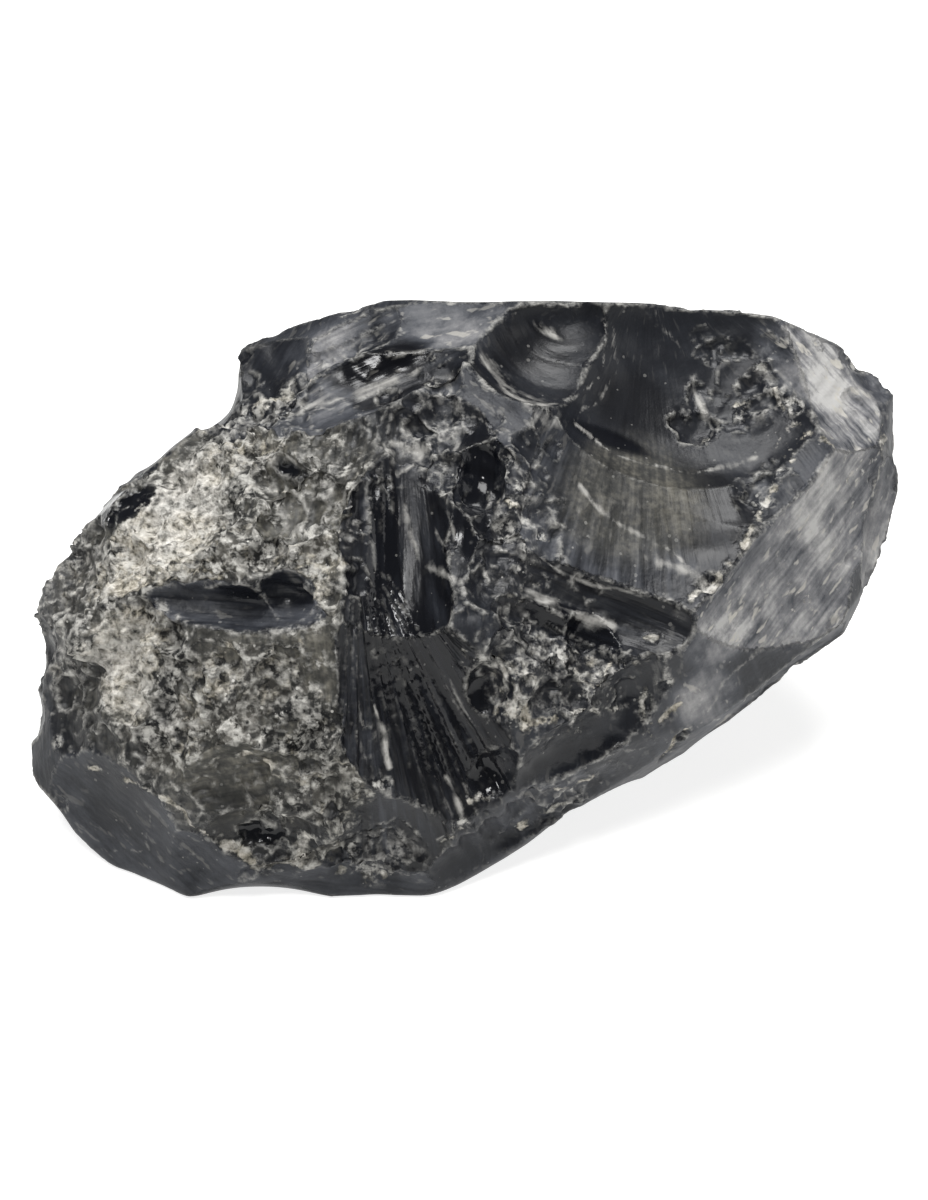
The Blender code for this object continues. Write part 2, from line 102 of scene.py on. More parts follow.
# Scars of the broad face: across and up, mouth (length, width, depth), turn, sink, lean
FACE_SCARS = {
    "shoulder": ((-34.5, 39), (26, 24, 3.5), 50, 0, (-8, 0)),
    "leaf": ((-19.5, 37), (38, 17, 5), 24, 0, (0, 6)),
    "leaf_upper": ((-23.5, 44), (36, 12, 3), 20, 0, (0, 10)),
    "leaf_hollow": ((-13, 40), (26, 10, 2.5), 26, 3.5, (0, 6)),
    "crown": ((-6, 47), (30, 20, 2.5), 0, 0, (0, 0)),
    "lip_band": ((2.5, 35), (44, 14, 3), -38, 0, (4, 0)),
    "bowl": ((15, 43.5), (31, 26, 9), -20, 0, (0, 0)),
    "bowl_heart": ((17, 47.5), (18, 14, 3), 0, 5, (0, 0)),
    "corner_blade": ((64, 37), (46, 24, 4), -48, 0, (0, 0)),
    "corner_tip": ((71.5, 40.5), (14, 12, 2), -30, 0, (0, 0)),
    "shell_outer": ((35.5, 22), (68, 50, 9), 50, 0, (0, 0)),
    "shell_middle": ((39, 29.5), (54, 42, 4.5), 40, 7, (0, 0)),
    "shell_inner": ((40, 39), (40, 34, 4.5), 10, 11, (0, 0)),
    "shell_left_chip": ((33.5, 46.5), (12, 16, 2), 60, 8.5, (20, -30)),
    "shell_root": ((44.5, 44), (18, 14, 2.5), 20, 12, (0, -25)),
    "shell_foot": ((23, 0), (34, 13, 3.5), -22, 4.5, (0, 0)),
    "right_break": ((53, 1.5), (72, 42, 3.5), 42, 0, (0, 0)),
    "right_break_upper": ((66.5, 17.5), (30, 24, 1.5), 42, .5, (0, 0)),
    "right_strip": ((56.5, -13), (34, 9, 2), 33, 0, (0, 0)),
    "right_edge": ((74.5, 14), (30, 12, 2.5), 75, 0, (0, 0)),
    "rind_shoulder": ((-52.5, 15.5), (34, 26, 2.5), 40, 0, (0, 0)),
    "rind_brow": ((-43, 19), (26, 22, 2), 20, 1.5, (0, 0)),
    "rind_cheek": ((-57, -11), (34, 24, 2.5), 75, 0, (0, 0)),
    "rind_left_upper": ((-68, 1.5), (24, 18, 2), 75, 0, (0, 0)),
    "rind_left_lower": ((-67.5, -17.5), (26, 18, 2), 95, 0, (0, 0)),
    "rind_belly": ((-45, -17), (22, 20, 2), 60, 0, (0, 0)),
    "rind_middle": ((-30, -17), (30, 22, 2.5), 60, 0, (0, 0)),
    "rind_foot": ((-24.5, -32.5), (22, 16, 2), 80, 0, (0, 0)),
    "rind_top": ((-26.5, 27.5), (34, 18, 3), 10, 0, (0, 0)),
    "rind_ridge": ((-22.5, 6.5), (16, 14, 2), 0, 0, (0, 0)),
    "dimple": ((-28, 17), (16, 15, 5), 0, 0, (0, 0)),
    "dimple_side": ((-34, 23), (14, 8, 2.5), 10, 2.5, (0, 0)),
    "slot": ((-39.5, -1), (46, 8, 4.5), -3, 0, (0, -10)),
    "slot_end": ((-30.5, .5), (12, 10, 5.5), 0, 0, (0, 0)),
    "low_flake": ((-38, -31), (26, 15, 3.5), 10, 0, (0, 0)),
    "lowest_flake": ((-33.5, -41), (22, 13, 4), 0, 0, (0, 0)),
    "left_heel_facet": ((-60, -41), (50, 28, 3), -42, 0, (0, 0)),
    "left_heel_strip": ((-46, -46.5), (30, 14, 2), -14, 0, (0, 0)),
    "bottom_strip": ((-20.5, -50), (40, 10, 2.5), -6, 0, (0, 0)),
    "channel_upper": ((-9.5, 7), (66, 20, 7), 92, 0, (-22, 0)),
    "channel_lower": ((-4, -21), (60, 27, 7), -68, 0, (-18, 0)),
    "channel_foot": ((-11, -41), (24, 20, 3), -60, 0, (0, 0)),
    "upper_pocket": ((2.5, 22), (19, 11, 7), 90, 0, (0, 0)),
    "upper_pocket_low": ((6, 14.5), (12, 10, 4), 20, 0, (0, 0)),
    "channel_head": ((-8.5, 29), (18, 11, 4), -10, 0, (0, 0)),
    "under_lip": ((-1.5, 31.5), (16, 12, 3), -30, 1.5, (0, 0)),
    "shell_neighbour": ((11, 20.5), (20, 13, 3), 60, 0, (0, 0)),
    "middle_scar": ((7, 6), (18, 14, 3.5), 60, 0, (0, 0)),
    "channel_side": ((-1.5, 9.5), (18, 9, 3), 80, 0, (0, 0)),
    "lip_chip": ((16.5, 27.5), (16, 10, 2.5), -20, 4, (0, 0)),
    "head_chip": ((-4, 22), (12, 8, 2.5), 70, 1, (0, 0)),
    "ring_pocket": ((3, -17), (16, 11, 5.5), 75, 0, (0, 0)),
    "low_pocket": ((4.5, -30.5), (14, 11, 5), 60, 0, (0, 0)),
    "foot_gap": ((18, -5), (26, 9, 4), -25, 4, (0, 0)),
    "foot_gap_end": ((23, -8), (10, 11, 4), 0, 6, (0, 0)),
    "brow_scar": ((10.5, -8.5), (16, 12, 2.5), 30, 0, (0, 0)),
    "lower_facet": ((19, -25.5), (30, 14, 3), 24, 0, (0, 0)),
    "speckled_facet": ((16.5, -15.5), (18, 14, 2.5), 20, 0, (0, 0)),
    "edge_facet": ((6, -41), (30, 13, 2.5), 30, 0, (0, 0)),
    "edge_chip": ((28.5, -17), (16, 12, 2.5), 80, 1, (0, 0)),
}
# Scars of the far side, the same way
BACK_SCARS = {
    "back_left": ((-28, 12), (58, 40, 5), 30, 0, (0, 0)),
    "back_right": ((34, 18), (62, 44, 5.5), -24, 0, (0, 0)),
    "back_middle": ((2, -8), (50, 36, 4.5), 70, 0, (0, 0)),
    "back_top": ((0, 40), (60, 24, 4), 5, 0, (0, 0)),
    "back_heel": ((-34, -30), (40, 24, 3.5), 15, 0, (0, 0)),
    "back_low": ((26, -18), (40, 24, 3.5), -30, 0, (0, 0)),
}


def facing(right, up):
    """Direction that looks out of the face, turned right and then up by these degrees."""
    right, up = math.radians(right), math.radians(up)
    return Vector((math.sin(right) * math.cos(up), math.sin(up), math.cos(right) * math.cos(up)))


def scoop(place, out, mouth, turn, bite):
    """An ellipsoid that dips into the surface: its axes, centre and half sizes."""
    length, width, depth = mouth
    share = math.sqrt(1 - (1 - 1 / bite) ** 2)
    along = Vector((math.cos(math.radians(turn)), math.sin(math.radians(turn)), 0))
    along = (along - out * along.dot(out)).normalized()
    axes = np.array((along, out.cross(along), out))
    centre = np.array(place + out * (bite - 1) * depth)
    return axes, centre, np.array((length / 2 / share, width / 2 / share, bite * depth))


def block_skin():
    """The tight skin over all the corners."""
    skin = bmesh.new()
    for corner in RIM_CORNERS + FACE_CORNERS + BACK_CORNERS:
        skin.verts.new(corner)
    hull = bmesh.ops.convex_hull(skin, input=skin.verts)
    inside = [item for item in hull["geom_interior"] if isinstance(item, bmesh.types.BMVert)]
    bmesh.ops.delete(skin, geom=inside, context="VERTS")
    bmesh.ops.recalc_face_normals(skin, faces=skin.faces)
    return skin


def lean_over(out, lean):
    """The same direction, leaned over to the right and up by these degrees."""
    aside = Vector([math.tan(math.radians(angle)) for angle in lean] + [0])
    return (out + aside).normalized()


def all_scoops(tree):
    """Every scar of the stone, placed on the skin of the block."""
    scoops = {}
    for name, (place, out, mouth, turn, bite) in SIDE_SCARS.items():
        scoops[name] = scoop(Vector(place), facing(*out), mouth, turn, bite)
    for scars, start, way in ((FACE_SCARS, FAR_OUT, -1), (BACK_SCARS, -FAR_OUT, 1)):
        for name, ((across, up), mouth, turn, sink, lean) in scars.items():
            hit, out, _, _ = tree.ray_cast(Vector((across, up, start)), Vector((0, 0, way)))
            out = lean_over(out, lean)
            scoops[name] = scoop(hit - out * sink, out, mouth, turn, SOFT_BITE)
    chance = random.Random(AROUND_SEED)
    for count in range(AROUND_FLAKES):
        up = math.degrees(math.asin(1 - 2 * (count + .5) / AROUND_FLAKES))
        up += chance.uniform(-AROUND_SWAY[0], AROUND_SWAY[0])
        right = count * GOLDEN_TURN + chance.uniform(-AROUND_SWAY[1], AROUND_SWAY[1])
        length = chance.uniform(*AROUND_LENGTH)
        width = length * chance.uniform(*AROUND_WIDTH)
        mouth = (length, width, length * chance.uniform(*AROUND_DEPTH))
        turn = chance.uniform(0, 180)
        hit, out, _, _ = tree.ray_cast(Vector((0, 0, HEART_DEPTH)), facing(right, up))
        if hit.z < FACE_DEPTH and out.z < FACE_TURN:
            scoops["around_%02d" % count] = scoop(hit, out, mouth, turn, SOFT_BITE)
    return scoops


def skin_planes(skin):
    """Outward directions and distances of the block's facets and of the ground flat."""
    outs = [face.normal.copy() for face in skin.faces]
    reach = [face.normal.dot(face.verts[0].co) for face in skin.faces]
    outs.append(Euler((math.radians(-TIP_UP), 0, 0)).to_matrix() @ Vector((0, 0, -1)))
    reach.append(FACE_MIDDLE[2])
    return np.array(outs), np.array(reach)


NEARBY = 3              # millimetres outside a scoop at which it still counts
LONGEST_STEP = 2        # millimetres that a point moves in one round
PRESS_ROUNDS = 8


def press_to(places, planes, scoops, rounds):
    """Moves points onto the broken surface; gives them, its direction there and the scar's number."""
    outs, reach = planes
    for _ in range(rounds):
        gaps = places @ outs.T - reach
        pick = gaps.argmax(1)
        gap = gaps[np.arange(len(places)), pick]
        out = outs[pick].copy()
        owner = np.full(len(places), -1)
        for number, (axes, centre, half) in enumerate(scoops.values()):
            near = np.nonzero(np.abs(places - centre).max(1) < half.max() + NEARBY)[0]
            inner = (places[near] - centre) @ axes.T / half
            size = np.maximum(np.linalg.norm(inner, axis=1), 1e-6)
            slope = (inner / half / size[:, None]) @ axes
            steep = np.linalg.norm(slope, axis=1)
            depth = (1 - size) / steep
            better = depth > gap[near]
            index = near[better]
            gap[index] = depth[better]
            out[index] = -slope[better] / steep[better][:, None]
            owner[index] = number
        places = places - out * np.clip(gap, -LONGEST_STEP, LONGEST_STEP)[:, None]
    return places, out, owner


def fine_copy(node, grain):
    """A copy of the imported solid's surface, merged and evened to this grain."""
    copy = node.data.copy()
    shape = bmesh.new()
    shape.from_mesh(copy)
    bmesh.ops.remove_doubles(shape, verts=shape.verts, dist=1e-6)
    shape.to_mesh(copy)
    shape.free()
    thing = bpy.data.objects.new("evened", copy)
    bpy.context.scene.collection.objects.link(thing)
    even = thing.modifiers.new("even", "REMESH")
    even.mode = "VOXEL"
    even.voxel_size = grain * MM
    bpy.context.view_layer.update()
    graph = bpy.context.evaluated_depsgraph_get()
    mesh = bpy.data.meshes.new_from_object(thing.evaluated_get(graph))
    bpy.data.objects.remove(thing)
    bpy.data.meshes.remove(copy)
    return mesh


def get_places(mesh):
    """The points of the mesh, one row each."""
    flat = np.zeros(len(mesh.vertices) * 3)
    mesh.vertices.foreach_get("co", flat)
    return flat.reshape(-1, 3)


TIP = np.array(Euler((math.radians(TIP_UP), 0, 0)).to_matrix())


def to_back(places):
    """From the scene to the stone lying on its back, in millimetres."""
    return (places / MM - FACE_MIDDLE) @ TIP


skin = block_skin()
tree = BVHTree.FromBMesh(skin)
planes = skin_planes(skin)
skin.free()
scoops = all_scoops(tree)
names = list(scoops)

GRAIN = .6      # millimetres between points of the finished surface
FAR_DEPTH = -16                        # behind this the surface is kept coarser
KEPT_FACES = .62                       # share of all faces that are left by that


def thin_far_side(mesh, share):
    """Keeps every point of the broad face and this share of all faces."""
    thing = bpy.data.objects.new("thinned", mesh)
    bpy.context.scene.collection.objects.link(thing)
    far = thing.vertex_groups.new(name="far")
    depth = to_back(get_places(mesh))[:, 2]
    far.add([int(number) for number in np.nonzero(depth < FAR_DEPTH)[0]], 1, "REPLACE")
    thin = thing.modifiers.new("thin", "DECIMATE")
    thin.vertex_group = "far"
    thin.ratio = share
    graph = bpy.context.evaluated_depsgraph_get()
    thinned = bpy.data.meshes.new_from_object(thing.evaluated_get(graph))
    bpy.data.objects.remove(thing)
    bpy.data.meshes.remove(mesh)
    return thinned


mesh = fine_copy(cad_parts["obsidian_chunk"], GRAIN)
mesh = thin_far_side(mesh, KEPT_FACES)
places = to_back(get_places(mesh))
places, out, owner = press_to(places, planes, scoops, PRESS_ROUNDS)


# ---------------------------------------------------------------- weathered rind
# The left half kept the old outside of the lava flow: a granular crust, grey-brown to beige and
# white, thin enough that dark glass shows wherever a flake has come off it. Thin veins of the same
# crust follow the ridges elsewhere.

# soft patches, here and below: across, up, half width, half height, turn, strength
RIND_PATCHES = [
    (-46, 13, 25, 20, 25, 1), (-46, -14, 20, 19, 0, 1), (-27, 14, 13, 22, 0, .8),
    (-66, -4, 9, 20, 0, .45), (-27, -22, 13, 24, 0, .9), (-30, 31, 18, 5, 20, .5),
    (-26, 41.5, 16, 1.6, 24, .35), (12, -16, 15, 12, 30, .34), (12, 8, 11, 12, 0, .2),
    (-2, 27, 12, 9, 0, .15), (-34, -43, 16, 5, 0, .8),
]
PALE_PATCHES = [
    (-51, 14.5, 16, 7.5, 47, 1), (-59, -11.5, 7, 10, 0, 1), (-38, -14, 9, 8, 0, .35),
    (-59, 4, 7, 3.5, 20, .7), (-38, 25, 9, 4, 30, .25), (-50, -20, 12, 6, -30, .15),
    (70, 23, 6, 6, 0, .8), (57, 28, 3, 4, -40, .8), (57.5, 0, 5, 3, 10, .8),
    (23.5, -10, 9, 8, 0, .25), (-70, -2, 4, 14, 0, .4), (-23, 5, 4, 5, 30, .4),
    (-22, -20, 8, 10, 0, .1), (8, -16, 6, 6, 0, .35),
]
# broken off more lately: dull olive glass, hardly any crust yet
THIN_PATCHES = [
    (-37, -4.5, 13, 3.4, -5, .85), (-27.5, 19.5, 9, 9, 0, .8), (-24, -11, 4, 9, 10, .6),
    (-41, -31, 11, 6, 10, .6), (-19.5, 12, 4, 14, 0, .6), (-66, -20, 6, 9, 20, .6),
    (-67, 9, 5, 7, -20, .6), (-52, 25, 8, 2, 42, .6), (-44, -9, 4, 2, 30, .6),
    (-30, 30, 7, 3, 20, .6), (-70, -4, 5, 9, 0, .6), (28, -14, 7, 5, 20, .6),
    (16, -17, 5, 4, 0, .5),
]
# left bare by the last flakes: clean black glass
BARE_PATCHES = [
    (-59, 16.5, 7, 3.2, 28, 1), (-13.5, 0, 3.5, 22, 0, 1), (-6, -15.5, 6, 16, 12, 1),
    (3.5, -29, 4, 6, 20, 1), (1.5, -16, 3.2, 5, 20, 1), (2.5, 23, 4, 8, 0, 1), (1, 12, 4, 6, 0, .9),
    (19, -4.5, 9, 3, -25, 1), (25.5, 28, 8, 1.6, -22, 1), (-34, 1.5, 9, 3.5, 0, .7),
    (-55, -.4, 9, 1.3, 6, .6), (-30.5, 22.5, 2.6, 1.6, -20, 1), (19, -27.5, 11, 4, 15, .8),
    (-35, -40, 4.5, 2.6, 0, 1), (-14.5, 41, 9, 2.8, 20, .8),
]
# veins and seams of crust, and two painted glints (the sparkles) drawn as pale crust: corners, half
# width, strength
CRUST_LINES = {
    "middle_vein": (((-1, -9.5), (1.5, -11.5), (5, -10.5), (6.5, -14), (10, -17.5),
        (11, -21.5)), 1.3, .9),
    "middle_vein_right": (((11, -21.5), (14.5, -20), (18.5, -18.5), (22, -19.5),
        (29, -17.5)), .8, .8),
    "vein_mass": (((6.5, -15.5), (7.5, -19), (9.5, -21.5)), 2.4, .7),
    "edge_crust": (((16, -33), (20.5, -31.5), (23.5, -30.5), (26, -28)), 1.2, .9),
    "bottom_edge": (((10.5, -40), (13.5, -38), (17, -35.5)), 1.4, 1),
    "rim_edge": (((39, -23.5), (34, -27.5)), 1, .8),
    "rim_sparkle": (((33.5, -22), (37.5, -18.5)), .9, .9),
    "crushed_line": (((30, -11), (31, -17), (30.5, -21), (33.5, -23)), 1.2, .9),
    "crushed_top": (((32.5, -6.5), (25.5, -8), (23.5, -12)), 1, .85),
    "heel_crust": (((-65.5, -29.5), (-59, -30.5), (-53.5, -33), (-49.5, -35.5), (-47, -39.5),
        (-43.5, -41.5), (-39, -43.5), (-35.5, -47)), .7, .8),
    "bottom_crust": (((-35.5, -47.5), (-27, -46), (-23, -47.5), (-16.5, -49)), .5, .6),
    "cream_crust": (((-45, -41), (-41, -42), (-37, -44.5), (-33, -45.5), (-28.5, -44.5),
        (-27, -41)), 1.4, 1),
    "low_line": (((-38, -25.5), (-33.5, -28), (-28.5, -30), (-24.5, -32)), .8, .9),
    "dimple_rim": (((-39.5, 16.5), (-36.5, 20.5), (-30.5, 20), (-26, 21)), .7, .7),
    "dimple_foot": (((-30, 9.5), (-24.5, 10), (-20, 12)), .7, .7),
    "blade_ridge": (((52.5, 41), (57, 31), (65, 26)), 1.2, .8),
    "shell_ridge": (((56.5, 24), (53.5, 18), (50.5, 14.5), (49, 10), (44.5, 5.5), (41.5, 2),
        (37, -1)), 1.2, .8),
    "shoulder_ridge": (((-41.5, 31.5), (-37, 35), (-32.5, 37), (-27.5, 39)), 1.2, .8),
    "right_rim": (((75.5, 37.5), (71.5, 5)), 1, .7),
    "foot_specks": (((-18, -48), (-14, -48.5)), 1, .9),
    "foot_chip": (((1, -34.5), (5, -33)), .9, 1),
    "foot_chip_left": (((-3.5, -41.5), (-.5, -40), (4.5, -36.5)), .4, .8),
    "jag_sparkle": (((42.5, 28.5), (46, 31)), 1.2, 1),
    "jag_chips": (((47.5, 34.5), (50.5, 36.5)), 1, .8),
    "crystals": (((-26, 1.5), (-24, 4), (-21, 6.5)), 2.2, .65),
    "beige_fleck": (((-30, -14.5), (-29, -12.5)), 1, 1),
    "white_lumps": (((3, 17), (9, 16)), 1, .9),
    "crown_specks": (((-7, 40), (-5, 41.5)), 1.2, .9),
}


def soft_step(value, low, high):
    """0 below low, 1 above high and a smooth rise between them."""
    share = np.clip((value - low) / (high - low), 0, 1)
    return share * share * (3 - 2 * share)


def on_scar(*wanted):
    """1 on these scars and 0 elsewhere."""
    return np.isin(owner, [names.index(name) for name in wanted]).astype(float)


def noise_at(points, size, shift=0):
    """Smooth noise from about -1 to 1, its lumps about this many millimetres apart.

    A shift reads it elsewhere, so that two layers of the same size don't line up.
    """
    return np.array([noise.noise(Vector(point)) for point in points / size + shift])


def patch_amount(points, patches):
    """Soft oval patches: across, up, half width, half height, turn, strength."""
    amount = np.zeros(len(points))
    for across, up, half_width, half_height, turn, strength in patches:
        swing = math.radians(turn)
        right, above = points[:, 0] - across, points[:, 1] - up
        along = right * math.cos(swing) + above * math.sin(swing)
        beside = above * math.cos(swing) - right * math.sin(swing)
        away = np.hypot(along / half_width, beside / half_height)
        amount = np.maximum(amount, strength * (1 - soft_step(away, .6, 1.25)))
    return amount


def rounded(corners):
    """The same line with its corners cut off twice."""
    line = np.array(corners, dtype=float)
    for _ in range(2):
        first, second = line[:-1] * .75 + line[1:] * .25, line[:-1] * .25 + line[1:] * .75
        line = np.concatenate((line[:1], np.stack((first, second), 1).reshape(-1, 2), line[-1:]))
    return line


def line_amount(points, lines, whole=0):
    """Soft lines seen straight onto the face: corners, half width, strength.

    They waver, swell and fade; whole below zero breaks them up more.
    """
    amount = np.zeros(len(points))
    bend = np.stack((noise_at(points, 6, 4), noise_at(points, 6, 8)), 1)
    flat = points[:, :2] + bend * .9
    swell = 1 + .8 * noise_at(points, 4, 6)
    fade = np.clip(1 + whole + 1.6 * noise_at(points, 3, 12), .1, 1)
    for corners, half_width, strength in lines.values():
        corners = rounded(corners)
        middle, reach = corners.mean(0), np.ptp(corners, axis=0).max() + 6
        near = np.nonzero((np.abs(flat - middle) < reach).all(1))[0]
        gap = np.full(len(near), float(FAR_OUT))
        for start, end in zip(corners[:-1], corners[1:]):
            along = end - start
            share = np.clip((flat[near] - start) @ along / (along @ along), 0, 1)
            gap = np.minimum(gap, np.linalg.norm(flat[near] - start - share[:, None] * along, axis=1))
        spread = gap / (half_width * swell[near])
        amount[near] = np.maximum(amount[near], strength * (1 - soft_step(spread, .1, 1.4)))
    return amount * fade


FRONT = (-14, -4)     # depths between which the finish of the broad face fades in
lie = places.copy()   # where each point lies before any relief
front_side = soft_step(lie[:, 2], *FRONT)
clean = patch_amount(lie, BARE_PATCHES) * front_side
rind = patch_amount(lie, RIND_PATCHES) * front_side
bare = on_scar("slot", "slot_end", "left_heel_facet", "left_heel_strip", "bottom_strip", "channel_upper",
               "channel_lower", "notch", "notch_wall", "step", "left_lobe", "left_lobe_low", "leaf",
               "leaf_upper", "leaf_hollow", "shoulder")
rind = rind * (1 - .9 * bare) * (1 - .55 * on_scar("low_flake", "lowest_flake", "dimple"))
rind = rind * (1 - patch_amount(lie, THIN_PATCHES))
rind = np.clip(rind + .25 * noise_at(lie, 6) * (rind > .02), 0, 1)
VEIN_CRUST = .62      # how thickly the veins are crusted
veins = line_amount(lie, CRUST_LINES, whole=-.4) * front_side
rind = np.maximum(rind, veins * VEIN_CRUST) * (1 - clean)
pale = np.maximum(patch_amount(lie, PALE_PATCHES), veins) * front_side

# swells 7.5 mm apart and 1.1 mm high, with granules 1.7 mm apart and .4 mm high on them
relief = rind * (noise_at(lie, 7.5) * 1.1 + np.abs(noise_at(lie, 1.7, (3, 3, 3))) * .4)

# ---------------------------------------------------------------- ripples, flutes, lips and painted highlights
# Glass breaks in shells: rings spread from the point that was struck, and fine flutes run away
# from it. The channel down the middle is fluted from end to end. Where one break cuts another a
# thin lip is left standing, worn light grey. Other light lines along edges, flutes and bands are
# painted highlights and sheen.
RIPPLES = {
    # scars: strike point, millimetres between rings, height
    ("bowl", "bowl_heart"): ((19, 52, -4), 3.4, .05),
    ("shell_inner", "shell_left_chip", "shell_root"): ((42, 52, -8), 5.2, .06),
    ("shell_middle",): ((42, 52, -8), 6.0, .07),
    ("shell_outer",): ((42, 52, -8), 7.0, .09),
    ("right_break", "right_break_upper", "right_edge"): ((84, 30, 0), 9.0, .14),
    ("corner_blade",): ((52, 52, 0), 2.6, .1),
    ("leaf", "leaf_upper", "leaf_hollow", "crown", "shoulder"): ((-2, 56, -4), 4.2, .1),
    ("left_heel_facet", "left_heel_strip", "bottom_strip"): ((-80, -20, 0), 6.0, .12),
    ("lower_facet", "edge_facet", "edge_chip"): ((34, -16, 8), 4.5, .12),
    ("middle_scar", "shell_neighbour", "upper_pocket"): ((6, 30, 22), 3.0, .14),
}
for scars, (struck, pitch, height) in RIPPLES.items():
    reach = np.linalg.norm(lie - struck, axis=1)
    drift = noise_at(lie, 14, (7, 1, 2)) * 3.2 + noise_at(lie, 5, (1, 7, 2)) * .9
    ring = np.cos(2 * math.pi * (reach / pitch) ** .96 + drift)
    relief += on_scar(*scars) * height * ring * (1 - rind)

# slow rings over the whole far side
FAR_STRUCK = (20, 60, -60)
FAR_PITCH = 7.5
FAR_HEIGHT = .2
FAR_RINGS_DEPTH = -8  # they lie behind this
far_side = 1 - front_side
reach = np.linalg.norm(lie - FAR_STRUCK, axis=1)
ring = np.cos(2 * math.pi * reach / FAR_PITCH + 3 * noise_at(lie, 16))
relief += far_side * FAR_HEIGHT * ring * (lie[:, 2] < FAR_RINGS_DEPTH)

# strike point, reach from and to, swing from straight down from and to, degrees apart
FLUTE_FANS = [((-18.5, 12), (5, 66), (-7, 40), 4.4), ((-14, 72), (44, 84), (-4, 10), 2.4)]
FLUTE_HEIGHT = .42
FINE_FLUTE_HEIGHT = .15
FINE_FLUTES = 2.3     # fine flutes to each coarse one
FLUTE_DEPTHS = (4, 8)  # between these the flutes fade in
flutes = np.zeros(len(lie))
for struck, (near, far), (left, right), apart in FLUTE_FANS:
    aside, below = lie[:, 0] - struck[0], struck[1] - lie[:, 1]
    reach, swing = np.hypot(aside, below), np.degrees(np.arctan2(aside, below))
    inside = soft_step(reach, near, near + 8) * (1 - soft_step(reach, far - 8, far))
    inside *= soft_step(swing, left, left + 3) * (1 - soft_step(swing, right - 4, right))
    bent = np.stack((swing / 9, reach / 30, np.full(len(lie), 3.0)), 1)
    drift = noise_at(bent, 1) * apart * .7
    strength = np.clip(.5 + noise_at(bent, 1.7, (5, 0, 0)) * 1.6, .05, 1)
    turns = np.radians(360 / apart * (swing + drift))
    fine_turns = np.radians(360 / apart * FINE_FLUTES * (swing - drift))
    flutes += inside * strength * FLUTE_HEIGHT * np.cos(turns)
    flutes += inside * strength * FINE_FLUTE_HEIGHT * np.cos(fine_turns)
fluted = np.clip(np.abs(flutes) * 4, 0, 1)
relief += flutes * soft_step(lie[:, 2], *FLUTE_DEPTHS)
